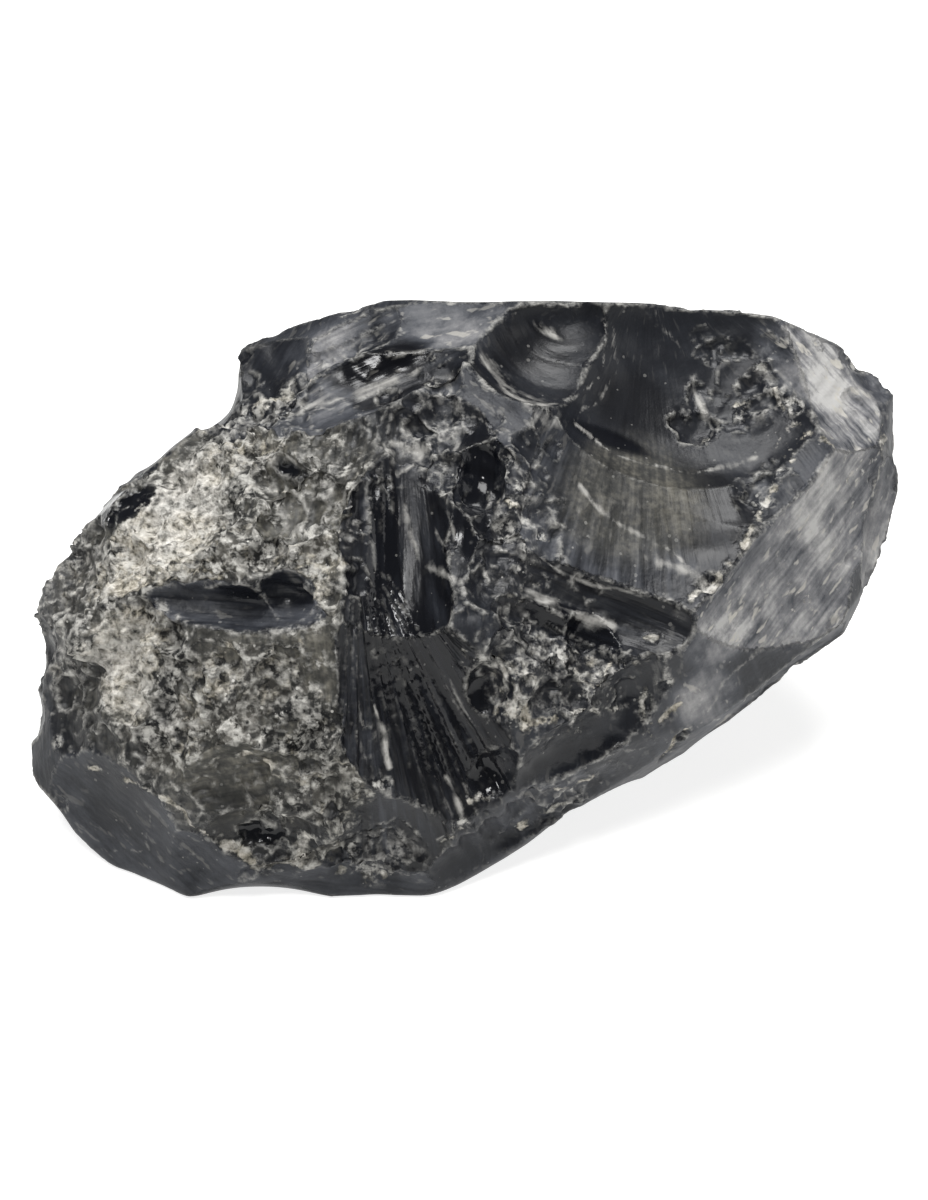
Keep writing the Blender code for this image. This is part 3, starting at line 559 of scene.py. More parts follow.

# lips and worn light edges, partly painted edge highlights; the gleams and broad bands are painted
# highlights and sheen: corners, half width, strength
LIPS_AND_HIGHLIGHT_LINES = {
    "shell_ledge": (((19, 30.5), (23, 28), (27, 25), (33, 23), (37.5, 22), (42.5, 22.5), (48, 24),
        (51.5, 25)), .5, .8),
    "bowl_inner_lip": (((2.5, 43.5), (4.5, 39.5), (8, 36), (12.5, 33), (17, 34), (20.5, 36),
        (24, 40), (25, 45), (24.5, 49)), .4, .8),
    "bowl_rim": (((26, 48), (27, 42.5), (26, 38.5), (23.5, 35.5), (20, 32.5), (18, 30.5)), .5, .6),
    "bowl_gleam": (((13.5, 48), (15.5, 47.5), (17.5, 46)), 1.3, 1),
    "bowl_band": (((2, 43), (6.5, 38.5), (10.5, 34), (16.5, 30)), 1.9, .6),
    "beige_ridge": (((34, 51), (35, 47.5), (39.5, 44)), .5, .5),
    "curved_chip": (((40, 39.5), (42, 35), (44.5, 31)), .8, 1),
    "shell_streak": (((20, 19.5), (24.5, 13.5), (30.5, 11), (36, 8), (41.5, 3.5)), .7, .8),
    "shell_streak_end": (((33, 6), (39, 5), (43, 2.5)), 1.6, .8),
    "shell_low_edge": (((13.5, 8), (16.5, 4.5), (21, 3.5), (28, 1.5), (35.5, 0)), .5, .8),
    "foot_band": (((11, 1.5), (16, -1), (20.5, -3), (25.5, -4.5)), 1.2, .9),
    "middle_arc": (((-4, 23.5), (-3, 18.5), (-2.5, 14), (-.5, 7.5)), .52, .6),
    "middle_edge": (((0, 31), (2, 31.5), (6, 28), (8, 24.5), (10, 20.5)), .45, .7),
    "blade_line": (((53.5, 48), (60.5, 40.5), (66.5, 35.5), (71.5, 31)), .4, .7),
    "blade_band": (((57.5, 47.5), (64.5, 40.5), (70.5, 35)), 1.8, .4),
    "blade_low_band": (((55, 40), (59.5, 33.5), (66, 28), (71, 28)), 1.4, .5),
    "ring_left": (((-2.5, -13.5), (-.5, -18), (2, -22.5), (5, -20), (5.5, -16),
        (4.5, -12.5)), .4, .6),
    "facet_line": (((31.5, -25), (27, -26), (22.5, -28)), .4, .6),
    "right_ledge": (((52, -7), (48, -11), (44, -16), (42, -21)), .6, .7),
    "right_ledge_end": (((66.5, -4), (61.5, -6), (57, -7), (51.5, -7.5)), .7, .6),
    "right_left_arc": (((37, -1), (36, -4.5), (33, -10.5), (32.5, -15.5)), 1.3, .4),
    "flute_gleam": (((-15, -18), (-14, -24), (-12.5, -28.5)), .6, 1),
    "flute_gleam_low": (((-3.5, -30.5), (-1, -34), (0, -37)), .7, 1),
    "flute_side": (((-3, -15), (1, -22), (6.5, -29.5)), .4, .5),
    "flute_low": (((-7.5, -25.5), (-4, -32.5), (-1, -38)), .4, .5),
    "flute_left": (((-17.5, -24), (-15.5, -30), (-12.5, -35.5)), .45, .4),
    "channel_line": (((-16.5, 20), (-15.5, 9.5), (-14.5, 3)), .4, .6),
    "channel_rib_small": (((-14, 21), (-12, 16.5), (-11.5, 13)), .45, .6),
    "channel_rib": (((-10.5, 19), (-9.5, 13), (-8, 8), (-4, 4.5), (-.5, 3)), 1.1, .8),
    "channel_thread": (((-5.5, 13.5), (-3.5, 8.5), (-.5, 5.5)), .4, .6),
    "channel_wall": (((-18.5, -4), (-18, -12.5), (-17.5, -21)), .4, .6),
    "foot_line": (((-4.5, -41), (-.5, -39.5), (3, -38)), .4, .8),
    "head_line": (((-19, 32.5), (-16, 29), (-13, 26), (-11.5, 21)), .45, .7),
    "head_chip_edge": (((-12, 27), (-9, 26.5), (-6, 26)), .7, .8),
    "head_chip_left": (((-10.5, 22), (-8.5, 24)), .6, .9),
    "head_chip_curl": (((-6, 21), (-2.5, 24), (-1, 28)), .68, .75),
    "crown_thread": (((-5.5, 41), (-2.5, 38), (-1, 33), (-3, 30)), .4, .8),
    "leaf_lip": (((-31, 33.5), (-25, 32.5), (-20, 33.5), (-13.5, 36.5), (-7.5, 40.5),
        (-5.5, 43)), .6, .8),
    "leaf_band": (((-28.5, 34.5), (-23.5, 34), (-17, 36), (-11, 39)), 1.6, .85),
    "leaf_edge": (((-28.5, 44.5), (-22, 47.5), (-16.5, 50), (-13.5, 51.5)), .4, .6),
    "leaf_middle_edge": (((-29.5, 38.5), (-25.5, 41), (-19.5, 45.5), (-13.5, 49),
        (-9, 49.5)), .45, .6),
    "leaf_inner_edge": (((-20.5, 43), (-16, 44), (-10, 47)), .4, .7),
    "slot_lip": (((-65, -1.5), (-53, -2), (-41.5, -5), (-32.5, -5), (-24.5, -4.5),
        (-19, -3.5)), .45, .45),
    "heel_line": (((-65, -43.6), (-60.4, -43.8), (-56, -44.1)), .4, .6),
    "heel_line_up": (((-54.5, -37.4), (-55.4, -40.9), (-54.5, -44.4)), .4, .5),
    "dimple_crescent": (((-36.5, 24), (-34.5, 25.5), (-31.5, 25.5), (-29.5, 23.5)), .52, 1),
    "dimple_gleam": (((-33.5, 16), (-32, 15.5), (-31, 17.5)), .45, 1),
    "dimple_gleam_right": (((-28.5, 13), (-27, 13.5), (-27, 16), (-27.5, 17.5)), .45, .9),
    "slot_chip": (((-31, 6), (-28.5, 4), (-27, 3)), 1.6, .6),
}
lips_and_highlights = line_amount(lie, LIPS_AND_HIGHLIGHT_LINES) * front_side
LIP_HEIGHT = .08
relief += lips_and_highlights * LIP_HEIGHT


def neighbours(mesh):
    """The two points of each edge."""
    ends = np.zeros(len(mesh.edges) * 2, dtype=int)
    mesh.edges.foreach_get("vertices", ends)
    return ends.reshape(-1, 2)


def evened_out(values, edges, rounds):
    """Values spread to neighbouring points, a few rounds."""
    shape = (len(values), -1)
    values = values.reshape(shape)
    count = np.bincount(edges.ravel(), minlength=len(values))[:, None]
    for _ in range(rounds):
        total = np.zeros_like(values)
        np.add.at(total, edges[:, 0], values[edges[:, 1]])
        np.add.at(total, edges[:, 1], values[edges[:, 0]])
        values = (values + total / count) / 2
    return values


# slow waves in the glass, 11 and 4.5 mm apart; no relief where the stone stands on the ground
edges = neighbours(mesh)
waves = noise_at(lie, 11, (2, 8, 5)) * .25 + noise_at(lie, 4.5, (5, 5, 0)) * .07
relief += waves * (1 - rind)
height_off_ground = (places @ TIP.T + FACE_MIDDLE)[:, 2]
SKIRT = (.6, 5)       # heights off the ground between which the relief fades in
LOW_RIM = (6, 12)     # below this the rim is worn round
LOW_ROUNDS = 30
grounded = 1 - soft_step(height_off_ground, *SKIRT)
low = (1 - soft_step(height_off_ground, *LOW_RIM))[:, None]
places = places * (1 - low) + evened_out(places, edges, LOW_ROUNDS) * low
places = places + out * (relief * (1 - grounded))[:, None]

# ---------------------------------------------------------------- chips
# Every ridge of the glass is nicked, and the rind and the middle are full of small flakes. Each
# nick is a small hollow; some are crushed white inside, the others are clean glass.
CLUSTERS = [
    (-2, 27, 10, 6, 0, .8), (6, 14, 9, 12, 0, .9), (44, 35, 4, 8, -30, .25),
    (-26, 41.5, 17, 1.6, 24, .6), (14, -10, 14, 11, 20, .8), (-26, 18, 12, 12, 0, .9),
    (54, 18, 6, 7, 50, .8), (-16, -44, 10, 5, 0, .9), (-68, 0, 9, 22, 0, .8),
    (-34, 34, 14, 4, 20, .9), (54, 38, 4, 10, -35, .8), (16, -34, 14, 4, 37, .7),
    (-3, 36, 3, 7, 10, .7),
]
# nothing has nicked these parts of the breaks
WHOLE_PATCHES = [
    (-14, 40, 15, 5, 20, 1), (6, 39, 12, 3.4, -38, 1), (-1, 46, 9, 4, 0, 1), (15, 43, 11, 9, 0, 1),
    (30, 34, 8, 8, 0, 1), (62, 40, 11, 5, -45, 1), (60, 12, 16, 10, 50, 1), (34, 17, 12, 6, -20, 1),
    (-62, -38, 12, 8, -35, 1), (-35, 40, 6, 4, 50, .8),
]
whole = np.maximum(patch_amount(lie, WHOLE_PATCHES) * front_side, clean)
crumbly = np.maximum(rind, patch_amount(lie, CLUSTERS) * front_side) * (1 - whole)


def broken_facets(points, size, steep, seed):
    """Hollow facets that meet in sharp edges: their height, a shade for each, and their edges.

    They lie round random middles about size apart; each leans its own way, the steeper the more.
    """
    dice = np.random.default_rng(seed)
    low, high = points.min(0) - size, points.max(0) + size
    count = int(np.prod(high - low) / size ** 3)
    middles = dice.uniform(low, high, (count, 3))
    leans, shades = dice.normal(0, steep, (count, 3)), dice.random(count)
    tree = kdtree.KDTree(count)
    for index, middle in enumerate(middles):
        tree.insert(middle, index)
    tree.balance()
    near = np.array([[found[1] for found in tree.find_n(point, 4)] for point in points])
    apart = points[:, None] - middles[near]
    level = (apart * leans[near]).sum(2) + (apart ** 2).sum(2) / size * .6
    lowest = np.sort(level, 1)
    shade = shades[near[np.arange(len(points)), level.argmin(1)]]
    return lowest[:, 0] - size * .2, shade, 1 - soft_step(lowest[:, 1] - lowest[:, 0], 0, size * .16)


# flakes some 5 mm across, broken again into smaller ones: size, steepness, seed
bent = lie + noise_at(lie, 5, (6, 6, 6))[:, None] * 1.5
broad, shade, edge = broken_facets(bent, 5.2, .34, 3)
narrow, small_shade, small_edge = broken_facets(lie, 2.4, .3, 4)
places = places + out * ((broad + narrow * .8) * crumbly * (1 - grounded))[:, None]
shade = shade * .65 + small_shade * .35
edge = np.maximum(edge, small_edge * .7)

# what stands out from its surroundings is a ridge, and is nicked the most
around = evened_out(places, edges, 3)
bulge = ((places - around) * out).sum(1)
ridge = soft_step(bulge, .02, .14)
CHIP_SEED = 5
chance = random.Random(CHIP_SEED)
bruise = np.zeros(len(places))
chipped = np.zeros(len(places))
ragged = np.clip(noise_at(lie, 2.4, (4, 4, 4)) * 1.5, -.4, .4)
finder = kdtree.KDTree(len(places))
for number, place in enumerate(places):
    finder.insert(place, number)
finder.balance()


def scrape(number, facing_out, along, half_long, half_wide, deep):
    """Sinks a hollow at this point; gives the points around it and how far each one sank."""
    along = (along - facing_out * along.dot(facing_out)).normalized()
    beside = facing_out.cross(along)
    near = np.array([found[1] for found in finder.find_range(places[number], half_long + 1)], int)
    apart = places[near] - places[number]
    away = ((apart @ along) / half_long) ** 2 + ((apart @ beside) / half_wide) ** 2 + ragged[near]
    above = apart @ facing_out
    floor = -deep * (1 - away)
    cut = (away < 1) & (above > floor) & (above < 2 * deep + .5)
    drop = np.where(cut, above - floor, 0) * (1 - grounded[near])
    places[near] -= drop[:, None] * np.array(facing_out)
    return near, drop


def chip(number, radius, deep, tumble, white):
    """A small nick that faces outwards, tumbled by this share."""
    aside = Vector([chance.uniform(-1, 1) for _ in range(3)])
    facing_out = (Vector(out[number]) + aside * tumble).normalized()
    along = Vector([chance.uniform(-1, 1) for _ in range(3)])
    near, drop = scrape(number, facing_out, along, radius * chance.uniform(1, 1.7), radius, deep)
    chipped[near] = np.maximum(chipped[near], soft_step(drop, .02, .12))
    bruise[near] = np.where(drop > .04, white, bruise[near])


def scatter(weight, count, radius, shallow, tumble, white_share):
    """Chips spread over the surface, more of them where weight is high."""
    share = np.cumsum(weight / weight.sum())
    for _ in range(count):
        number = int(np.searchsorted(share, chance.random()))
        size = radius[0] + (radius[1] - radius[0]) * chance.random() ** 2
        white = chance.uniform(.5, 1) if chance.random() < white_share else 0
        chip(number, size, size * chance.uniform(*shallow), tumble, white)


# larger chips that left clean hollows: across, up, half length, half width, depth, turn
HOLLOWS = [
    (-26.5, 15.5, 4.2, 3.4, 1, 60), (-30.5, 22.5, 3.2, 1.9, .7, -15), (-42.5, 33, 2.2, 1.5, .5, 20),
    (-35, 31.5, 3.6, 1.8, .6, 5), (-29, 31.5, 2.6, 1.7, .6, -20), (-23.5, 29.5, 2.6, 2, .6, 40),
    (-18.5, 28, 3.2, 2.6, .8, 60), (-21, 21.5, 2.6, 2, .6, 20), (-17.5, 16, 2.2, 3, .6, 0),
    (-36.5, 16.5, 2, 1.4, .5, 0), (-41.5, 22.5, 1.8, 1.2, .5, 30), (-46.5, 26.5, 1.8, 1.2, .5, 30),
    (-46.5, -6, 7.5, 2.4, .6, -5), (-24, -6.5, 3.8, 2.8, .8, 20), (-18.5, 4, 2.2, 4.6, .8, 0),
    (-36.5, -29.5, 3.6, 2.4, .9, 25), (-35, -40, 4.6, 2.6, .9, 0), (-28, -34, 2.6, 2, .6, 20),
    (-26, -28, 2.6, 1.8, .7, 10), (-22, -36, 2.4, 1.8, .7, 0), (-44.5, -32.5, 2.6, 2, .6, -40),
    (-56.5, -26, 3.4, 2.4, .7, -30), (-63.5, -24, 2.8, 2.2, .7, 20), (-68.5, -25, 2.6, 3.4, .7, 0),
    (-70, -16, 2.2, 3.2, .7, 0), (-65, -12, 2.8, 2, .7, 30), (-68, 0, 2, 3.4, .6, 0),
    (-62, 12.5, 3.4, 1.8, .6, 40), (-56.5, 19, 4.6, 1.8, .7, 35), (-22.5, -15, 2.8, 2.2, .6, 60),
    (-20.5, -23, 2.6, 3.4, .6, 90), (-40.5, -9.5, 2, 1.2, .4, 0), (-48.5, -15.5, 1.6, 1.2, .4, 0),
    (-38, -15.5, 1.5, 1.1, .4, 0), (-16, 32, 2.8, 1.8, .7, -30), (-12, 30, 2.6, 1.4, .8, 70),
    (-9.5, 33.5, 2.6, 2, .7, 0), (-13, 34.5, 2, 2.8, .6, 10), (19, -9.5, 2.6, 1.8, .8, 20),
    (13, -8.5, 3, 2, .7, 0), (23.5, -15.5, 2.8, 3.4, .7, 10), (16.5, -15.5, 3.2, 2, .6, 20),
    (27.5, -15.5, 2, 3.4, .6, 0), (6, 0, 2.4, 2, .7, 0), (1, -2.5, 2.2, 1.6, .6, 30),
    (6, 7, 2.6, 2.4, .8, 0), (2, 3.5, 1.8, 1.4, .6, 0), (9.5, 7, 1.8, 2.6, .7, 10),
    (13, 22, 1.8, 1.4, .6, 0), (9.5, 27.5, 2.2, 1.6, .6, -30), (15.5, 26, 2, 1.6, .5, 0),
    (-9, 32, 1.8, 1.4, .6, 0), (44, 44, 3, 2.2, .8, 30), (48.5, 44, 2.4, 1.8, .7, 0),
    (41.5, 36, 1.8, 2.6, .7, -20), (50.5, 38, 2.4, 1.8, .7, 20), (47.5, 30.5, 3, 2, .6, 0),
    (41.5, 46.5, 2, 1.6, .6, 0), (53, 45, 1.8, 2.4, .6, -30), (72, 38, 3, 2.2, .7, -30),
    (68, 35.5, 2.2, 1.6, .6, -30), (67.5, 44.5, 2.6, 1.6, .5, -30), (60.5, 18.5, 2.8, 1.6, .5, 40),
    (71.5, 17.5, 2, 2.8, .6, 0), (68, 7, 1.8, 1.4, .5, 0), (-54, -15.5, 1.5, 1.2, .4, 0),
    (-33, -20.5, 1.8, 1.3, .5, 0), (-44, -24.5, 2.2, 1.5, .5, 30), (-29.5, -22, 2, 1.6, .5, 0),
    (-30.5, -9.5, 2.2, 1.5, .5, 10),
]
HOLLOWS_DEPTH = -12   # they lie in front of this
fresh = np.zeros(len(places))
for across, up, half_long, half_wide, deep, turn in HOLLOWS:
    gap = np.hypot(lie[:, 0] - across, lie[:, 1] - up) + FAR_OUT * (lie[:, 2] < HOLLOWS_DEPTH)
    number = int(gap.argmin())
    along = Vector((math.cos(math.radians(turn)), math.sin(math.radians(turn)), 0))
    near, drop = scrape(number, Vector(out[number]), along, half_long, half_wide, deep)
    fresh[near] = np.maximum(fresh[near], soft_step(drop, .03, .25))
rind = rind * (1 - .9 * fresh)
pale = pale * (1 - fresh)

whole = np.maximum(whole, fresh * .9)
may_chip = 1 - np.maximum(whole, fluted * (lie[:, 1] < 20))
crumbly = crumbly * may_chip

# smaller nicks: where, how many, radius from and to, depth to radius, tumble, share with white inside
scatter(crumbly ** 1.5 + .004 * may_chip, 200, (1.6, 3.8), (.13, .22), .3, .12)
scatter(ridge * (.3 + crumbly) * may_chip + 1e-4, 500, (.9, 2.1), (.15, .28), .5, .3)
scatter(crumbly ** 2 * may_chip + 1e-4, 400, (.9, 1.9), (.16, .3), .4, .25)
scatter(ridge * far_side + 1e-4, 300, (1.2, 3.2), (.12, .22), .4, .15)

# worn a little: no knife-thin fins are left
places = places * .5 + evened_out(places, edges, 1) * .5
around = evened_out(places, edges, 2)
ridge = soft_step(((places - around) * out).sum(1), .014, .09)
ridge = ridge * (1 - .95 * fluted) * (1 - .6 * far_side)

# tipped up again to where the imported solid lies, in metres
stood = (places @ TIP.T + FACE_MIDDLE) * MM
mesh.vertices.foreach_set("co", stood.astype(np.float32).ravel())
mesh.update()

# ---------------------------------------------------------------- finish of each break
# Fresh breaks are glossy black; older ones are dull grey, some combed with fine streaks. Streaks
# run straight, in rings or in a fan, which is kept on the surface as a pair of lengths.

# scars: dull, streaked, then the streaks: ("straight", turn), ("ring", point) or ("fan", point)
SCAR_FINISH = {
    ("shoulder",): (.22, .3, ("straight", 60)),
    ("leaf", "leaf_upper"): (.55, .5, ("straight", 24)),
    ("leaf_hollow",): (.1, .4, ("straight", 24)),
    ("crown",): (.66, .12, ("straight", 10)),
    ("lip_band",): (.5, .15, ("straight", -38)),
    ("bowl", "bowl_heart"): (.2, .22, ("ring", (19, 52))),
    ("shell_inner", "shell_left_chip", "shell_root"): (.24, .12, ("fan", (32, 62))),
    ("shell_middle",): (.35, .4, ("fan", (32, 62))),
    ("shell_outer",): (.42, .8, ("fan", (32, 62))),
    ("shell_foot", "foot_gap", "foot_gap_end"): (.15, .5, ("straight", -22)),
    ("corner_blade",): (.75, 1, ("straight", -48)),
    ("corner_tip",): (.6, .5, ("straight", -48)),
    ("right_break", "right_break_upper"): (1, .6, ("straight", 52)),
    ("right_strip",): (.6, .7, ("straight", 33)),
    ("right_edge",): (.95, .4, ("straight", 75)),
    ("left_heel_facet", "left_heel_strip"): (.46, .25, ("straight", -42)),
    ("bottom_strip",): (.42, .3, ("straight", -6)),
    ("channel_upper",): (.12, .8, ("fan", (-14, 72))),
    ("channel_lower", "channel_foot"): (.1, .9, ("fan", (-18.5, 12))),
    ("slot", "slot_end"): (.42, .5, ("straight", -3)),
    ("low_flake", "lowest_flake"): (.12, .2, ("straight", 10)),
}
DULL_SCAR = .25
DULL_BLOCK = .35
STREAKED = .25
dull_and_painted_light = np.where(owner < 0, DULL_BLOCK, DULL_SCAR)
streak = np.full(len(places), STREAKED)
# lane and length along it; a ring's lengths and a fan's widths are true this far from its point
RING_REACH = 25
FAN_REACH = 35
flow = np.stack((lie[:, 0] + lie[:, 2] * .4, lie[:, 1]), 1)
for scars, (dulled, streaked, (kind, course)) in SCAR_FINISH.items():
    here = on_scar(*scars) > 0
    dull_and_painted_light[here] = dulled
    streak[here] = streaked
    if kind == "straight":
        swing = math.radians(course)
        across = lie[:, 1] * math.cos(swing) - lie[:, 0] * math.sin(swing)
        along = lie[:, 0] * math.cos(swing) + lie[:, 1] * math.sin(swing)
    else:
        aside, below = lie[:, 0] - course[0], lie[:, 1] - course[1]
        reach, swing = np.hypot(aside, below), np.arctan2(aside, -below)
        across, along = (reach, swing * RING_REACH) if kind == "ring" else (swing * FAN_REACH, reach)
    flow[here] = np.stack((across, along), 1)[here]

# lighter here, partly worn grey and partly painted sheen, and darker there, painted shade, whatever the
# break
WORN_AND_SHEEN_PATCHES = [
    (-2.5, 45, 8, 5, 10, .25), (61, 41, 11, 6, -42, .75), (70, 33, 6, 8, -30, .35),
    (44, -7, 7, 4, 30, .6), (36, 8, 8, 3, -20, .2), (42, -17, 6, 6, 0, .5),
    (-26, 45, 10, 4, 22, .5), (14, -34, 10, 4, 35, .3),
]
PAINTED_SHADE_PATCHES = [
    (-14.5, 41, 9.5, 3.4, 20, .55), (12, 44, 8, 5, 0, .2), (30, 34, 9, 6, -30, .2),
    (41, 14, 9, 9, -30, .45), (42, 3, 6, 4, 20, .25), (47, 10, 5, 6, 30, .4),
    (-62, -34, 9, 6, -40, .15),
]
dull_and_painted_light = evened_out(dull_and_painted_light, edges, 2)[:, 0] * (1 - .8 * clean)
# painted sheen and painted shade go into the dullness, lightening or darkening the glass's colour
dull_and_painted_light += (patch_amount(lie, WORN_AND_SHEEN_PATCHES) - patch_amount(lie, PAINTED_SHADE_PATCHES)) * front_side
streak = streak * (1 - .5 * clean)

# glass with an olive cast, under the rind and in the big scar
OLIVE_PATCHES = [(-40, 0, 32, 40, 0, 1), (29, 17, 13, 11, -10, .7)]
olive = patch_amount(lie, OLIVE_PATCHES) * front_side * (1 - bare) * (1 - clean)
broken = np.clip((crumbly - .3) * 2, 0, 1) * (1 - clean)
FINISHES = {
    "rind": rind,                                  # crust of the old outside
    "pale": pale,                                  # its lightest parts
    "clean": np.maximum(clean, fresh * .35),       # mirror-like breaks
    "dull_and_painted_light": dull_and_painted_light,                                  # greyed by wear, lighter with painted sheen, darker with painted shade
    "streaked": streak,                            # combed by fine streaks
    "olive": olive,
    "broken": broken,                              # small facets side by side
    "chip_shade": shade,                           # a shade for each of them
    "chip_edge": edge,                             # and the edges between them
    "bruise": bruise * chipped,                    # crushed white inside a nick
    "ridge": ridge,                                # sharp ridges, lighter: partly rubbed, partly a painted edge highlight
    # worn lips and painted edge highlights and sheen
    "lip_and_highlight": lips_and_highlights,
}
for name, values in FINISHES.items():
    layer = mesh.attributes.new(name, "FLOAT", "POINT")
    layer.data.foreach_set("value", values.astype(np.float32))
lanes = np.concatenate((flow, lie[:, 2:3]), 1)
layer = mesh.attributes.new("flow", "FLOAT_VECTOR", "POINT")
layer.data.foreach_set("vector", lanes.astype(np.float32).ravel())

mesh.shade_smooth()
mesh.name = "chunk_of_obsidian"
mesh.materials.clear()
stone = bpy.data.objects.new("chunk_of_obsidian", mesh)
bpy.context.scene.collection.objects.link(stone)

# ---------------------------------------------------------------- black obsidian
# Natural volcanic glass, broken and never polished. Clean breaks are nearly black and mirror the
# room, older ones are greyed by fine scratches, and the rind is crushed and hydrated glass with
# the look of beige stone.
GLASS = [(0, "#0b0c10"), (.2, "#1a1c21"), (.43, "#3c3e43"), (.68, "#6b6b6d"), (1, "#a3a2a0")]
OLIVE_GLASS = [(.38, "#1b1b1a"), (.49, "#3f3e39"), (.57, "#66635a"), (.66, "#88857b")]
CHIP_GLASS = [(.2, "#101113"), (.45, "#2b2b2a"), (.7, "#55534e"), (.9, "#85827a")]
GREY_RIND = [(.33, "#1f2020"), (.43, "#54534f"), (.52, "#8c8a84"), (.61, "#aeaba5"), (.73, "#d0cdc6")]
BEIGE_RIND = [(.33, "#201f1d"), (.43, "#575349"), (.52, "#8e8879"), (.61, "#b0a99b"), (.73, "#d3cdc1")]
PIT_GREY, CHIP_EDGE_GREY, BROKEN_EDGE_GREY = "#a5a29b", "#aeaca5", "#b9b7b2"
LIP_AND_HIGHLIGHT_GREY, CRUSHED_AND_HIGHLIGHT_WHITE = "#adaba6", "#c8c6c0"

# widths and lengths of the streaks and pits, and sizes of the lumps, millimetres
FINE_STREAK, BROAD_STREAK, PIT = (.8, 10), (2.4, 16), (1.3, 3.6)
GRANULE, CRUMB, DENT, BLOTCH = 1.2, 1.7, 3.6, 11
DRIFT = (5, 2.6, 3)
DRIFT_TURN = .5         # radians
SMALL_FACET, TINY_FACET = 1.2, .5
FACET_TILT = 1.1


def hex_colour(code):
    """sRGB hex to the linear colour that a shader takes."""
    parts = [int(code[index:index + 2], 16) / 255 for index in (1, 3, 5)]
    return [part / 12.92 if part <= .04045 else ((part + .055) / 1.055) ** 2.4 for part in parts] + [1]


glass = bpy.data.materials.new("black_obsidian")
glass.use_nodes = True
nodes, links = glass.node_tree.nodes, glass.node_tree.links
shader = nodes["Principled BSDF"]
shader.inputs["IOR"].default_value = 1.5
shader.inputs["Specular IOR Level"].default_value = .26


def add(kind, inputs=(), output=0, stops=(), **settings):
    """Adds a node with its settings and links, and gives one of its outputs.

    Each input is a value or another node's output; stops are the places and colours of a ramp.
    """
    new = nodes.new("ShaderNode" + kind)
    for name, value in settings.items():
        setattr(new, name, value)
    for name, value in inputs.items() if isinstance(inputs, dict) else enumerate(inputs):
        if isinstance(value, bpy.types.NodeSocket):
            links.new(value, new.inputs[name])
        else:
            new.inputs[name].default_value = value
    for _ in stops[2:]:
        new.color_ramp.elements.new(.5)
    for index, (position, code) in enumerate(stops):
        new.color_ramp.elements[index].position = position
        new.color_ramp.elements[index].color = hex_colour(code)
    return new.outputs[output]


# where each finish lies on the stone, and which way the streaks run
on = {name: add("Attribute", output="Fac", attribute_name=name) for name in FINISHES}
lane = add("Attribute", output="Vector", attribute_name="flow")
in_mm = add("VectorMath", {0: add("TexCoord", output="Object"), "Scale": 1 / MM}, operation="SCALE")

# streaks and pits, drawn out along their lanes
fine_lane = add("Mapping", {"Vector": lane, "Scale": (1 / FINE_STREAK[0], 1 / FINE_STREAK[1], .05)})
broad_lane = add("Mapping", {"Vector": lane, "Scale": (1 / BROAD_STREAK[0], 1 / BROAD_STREAK[1], .03)})
pit_lane = add("Mapping", {"Vector": lane, "Scale": (1 / PIT[0], 1 / PIT[1], .3)})
fine_streaks = add("TexNoise", {"Vector": fine_lane, "Scale": 1, "Detail": 2, "Roughness": .5})
broad_streaks = add("TexNoise", {"Vector": broad_lane, "Scale": 1, "Detail": 3, "Roughness": .5})
pits = add("TexNoise", {"Vector": pit_lane, "Scale": 1, "Detail": 2, "Roughness": .5})
streaks = add("Mix", {0: .45, 2: fine_streaks, 3: broad_streaks})

# granules of the rind, and larger lumps
drift_scale = [1 / size for size in DRIFT]
drift_lane = add("Mapping", {"Vector": in_mm, "Rotation": (0, 0, DRIFT_TURN), "Scale": drift_scale})
drift_noise = {"Vector": drift_lane, "Scale": 1, "Detail": 4, "Roughness": .6, "Distortion": .6}
drifts = add("TexNoise", drift_noise)
grains = add("TexNoise", {"Vector": in_mm, "Scale": 1 / GRANULE, "Detail": 2, "Roughness": .55})
crumbs = add("TexNoise", {"Vector": in_mm, "Scale": 1 / CRUMB, "Detail": 4, "Roughness": .62})
dents = add("TexNoise", {"Vector": in_mm, "Scale": 1 / DENT, "Detail": 3, "Roughness": .55})
blotches = add("TexNoise", {"Vector": in_mm, "Scale": 1 / BLOTCH, "Detail": 7, "Roughness": .68})
crumb_swing = add("Math", (crumbs, .5), operation="SUBTRACT")
blotch_swing = add("Math", (blotches, .5), operation="SUBTRACT")


def crushed_facets(size):
    """Flat facets of this size, each tilted its own way: their height, and the cells they fill."""
    cells = add("TexVoronoi", {"Vector": in_mm, "Scale": 1 / size}).node.outputs
    apart = add("VectorMath", (in_mm, cells["Position"]), operation="SUBTRACT")
    tilt = add("VectorMath", (cells["Color"], (.5, .5, .5)), operation="SUBTRACT")
    level = add("VectorMath", (apart, tilt), "Value", operation="DOT_PRODUCT")
    return add("Math", (level, FACET_TILT), operation="MULTIPLY"), cells


small_facets, small_cells = crushed_facets(SMALL_FACET)
tiny_facets = crushed_facets(TINY_FACET)[0]
facet_dice = add("SeparateColor", (small_cells["Color"],)).node.outputs

# glass: black, greyed where it is dull or streaked, lighter where sheen is painted and darker where
# shade is painted
comb = add("Math", (streaks, .5), operation="SUBTRACT")
streak_share = add("Math", (on["streaked"], 2.6), operation="MULTIPLY")
streak_lift = add("Math", (comb, streak_share), operation="MULTIPLY")
mottle = add("Math", (blotch_swing, 2.6, 1), operation="MULTIPLY_ADD")
wear_and_painted_light = add("Math", (on["dull_and_painted_light"], mottle, streak_lift), operation="MULTIPLY_ADD")
wear_and_light_share = add("Math", (wear_and_painted_light, 1.5), operation="DIVIDE")
colour = add("ValToRGB", (wear_and_light_share,), stops=GLASS)

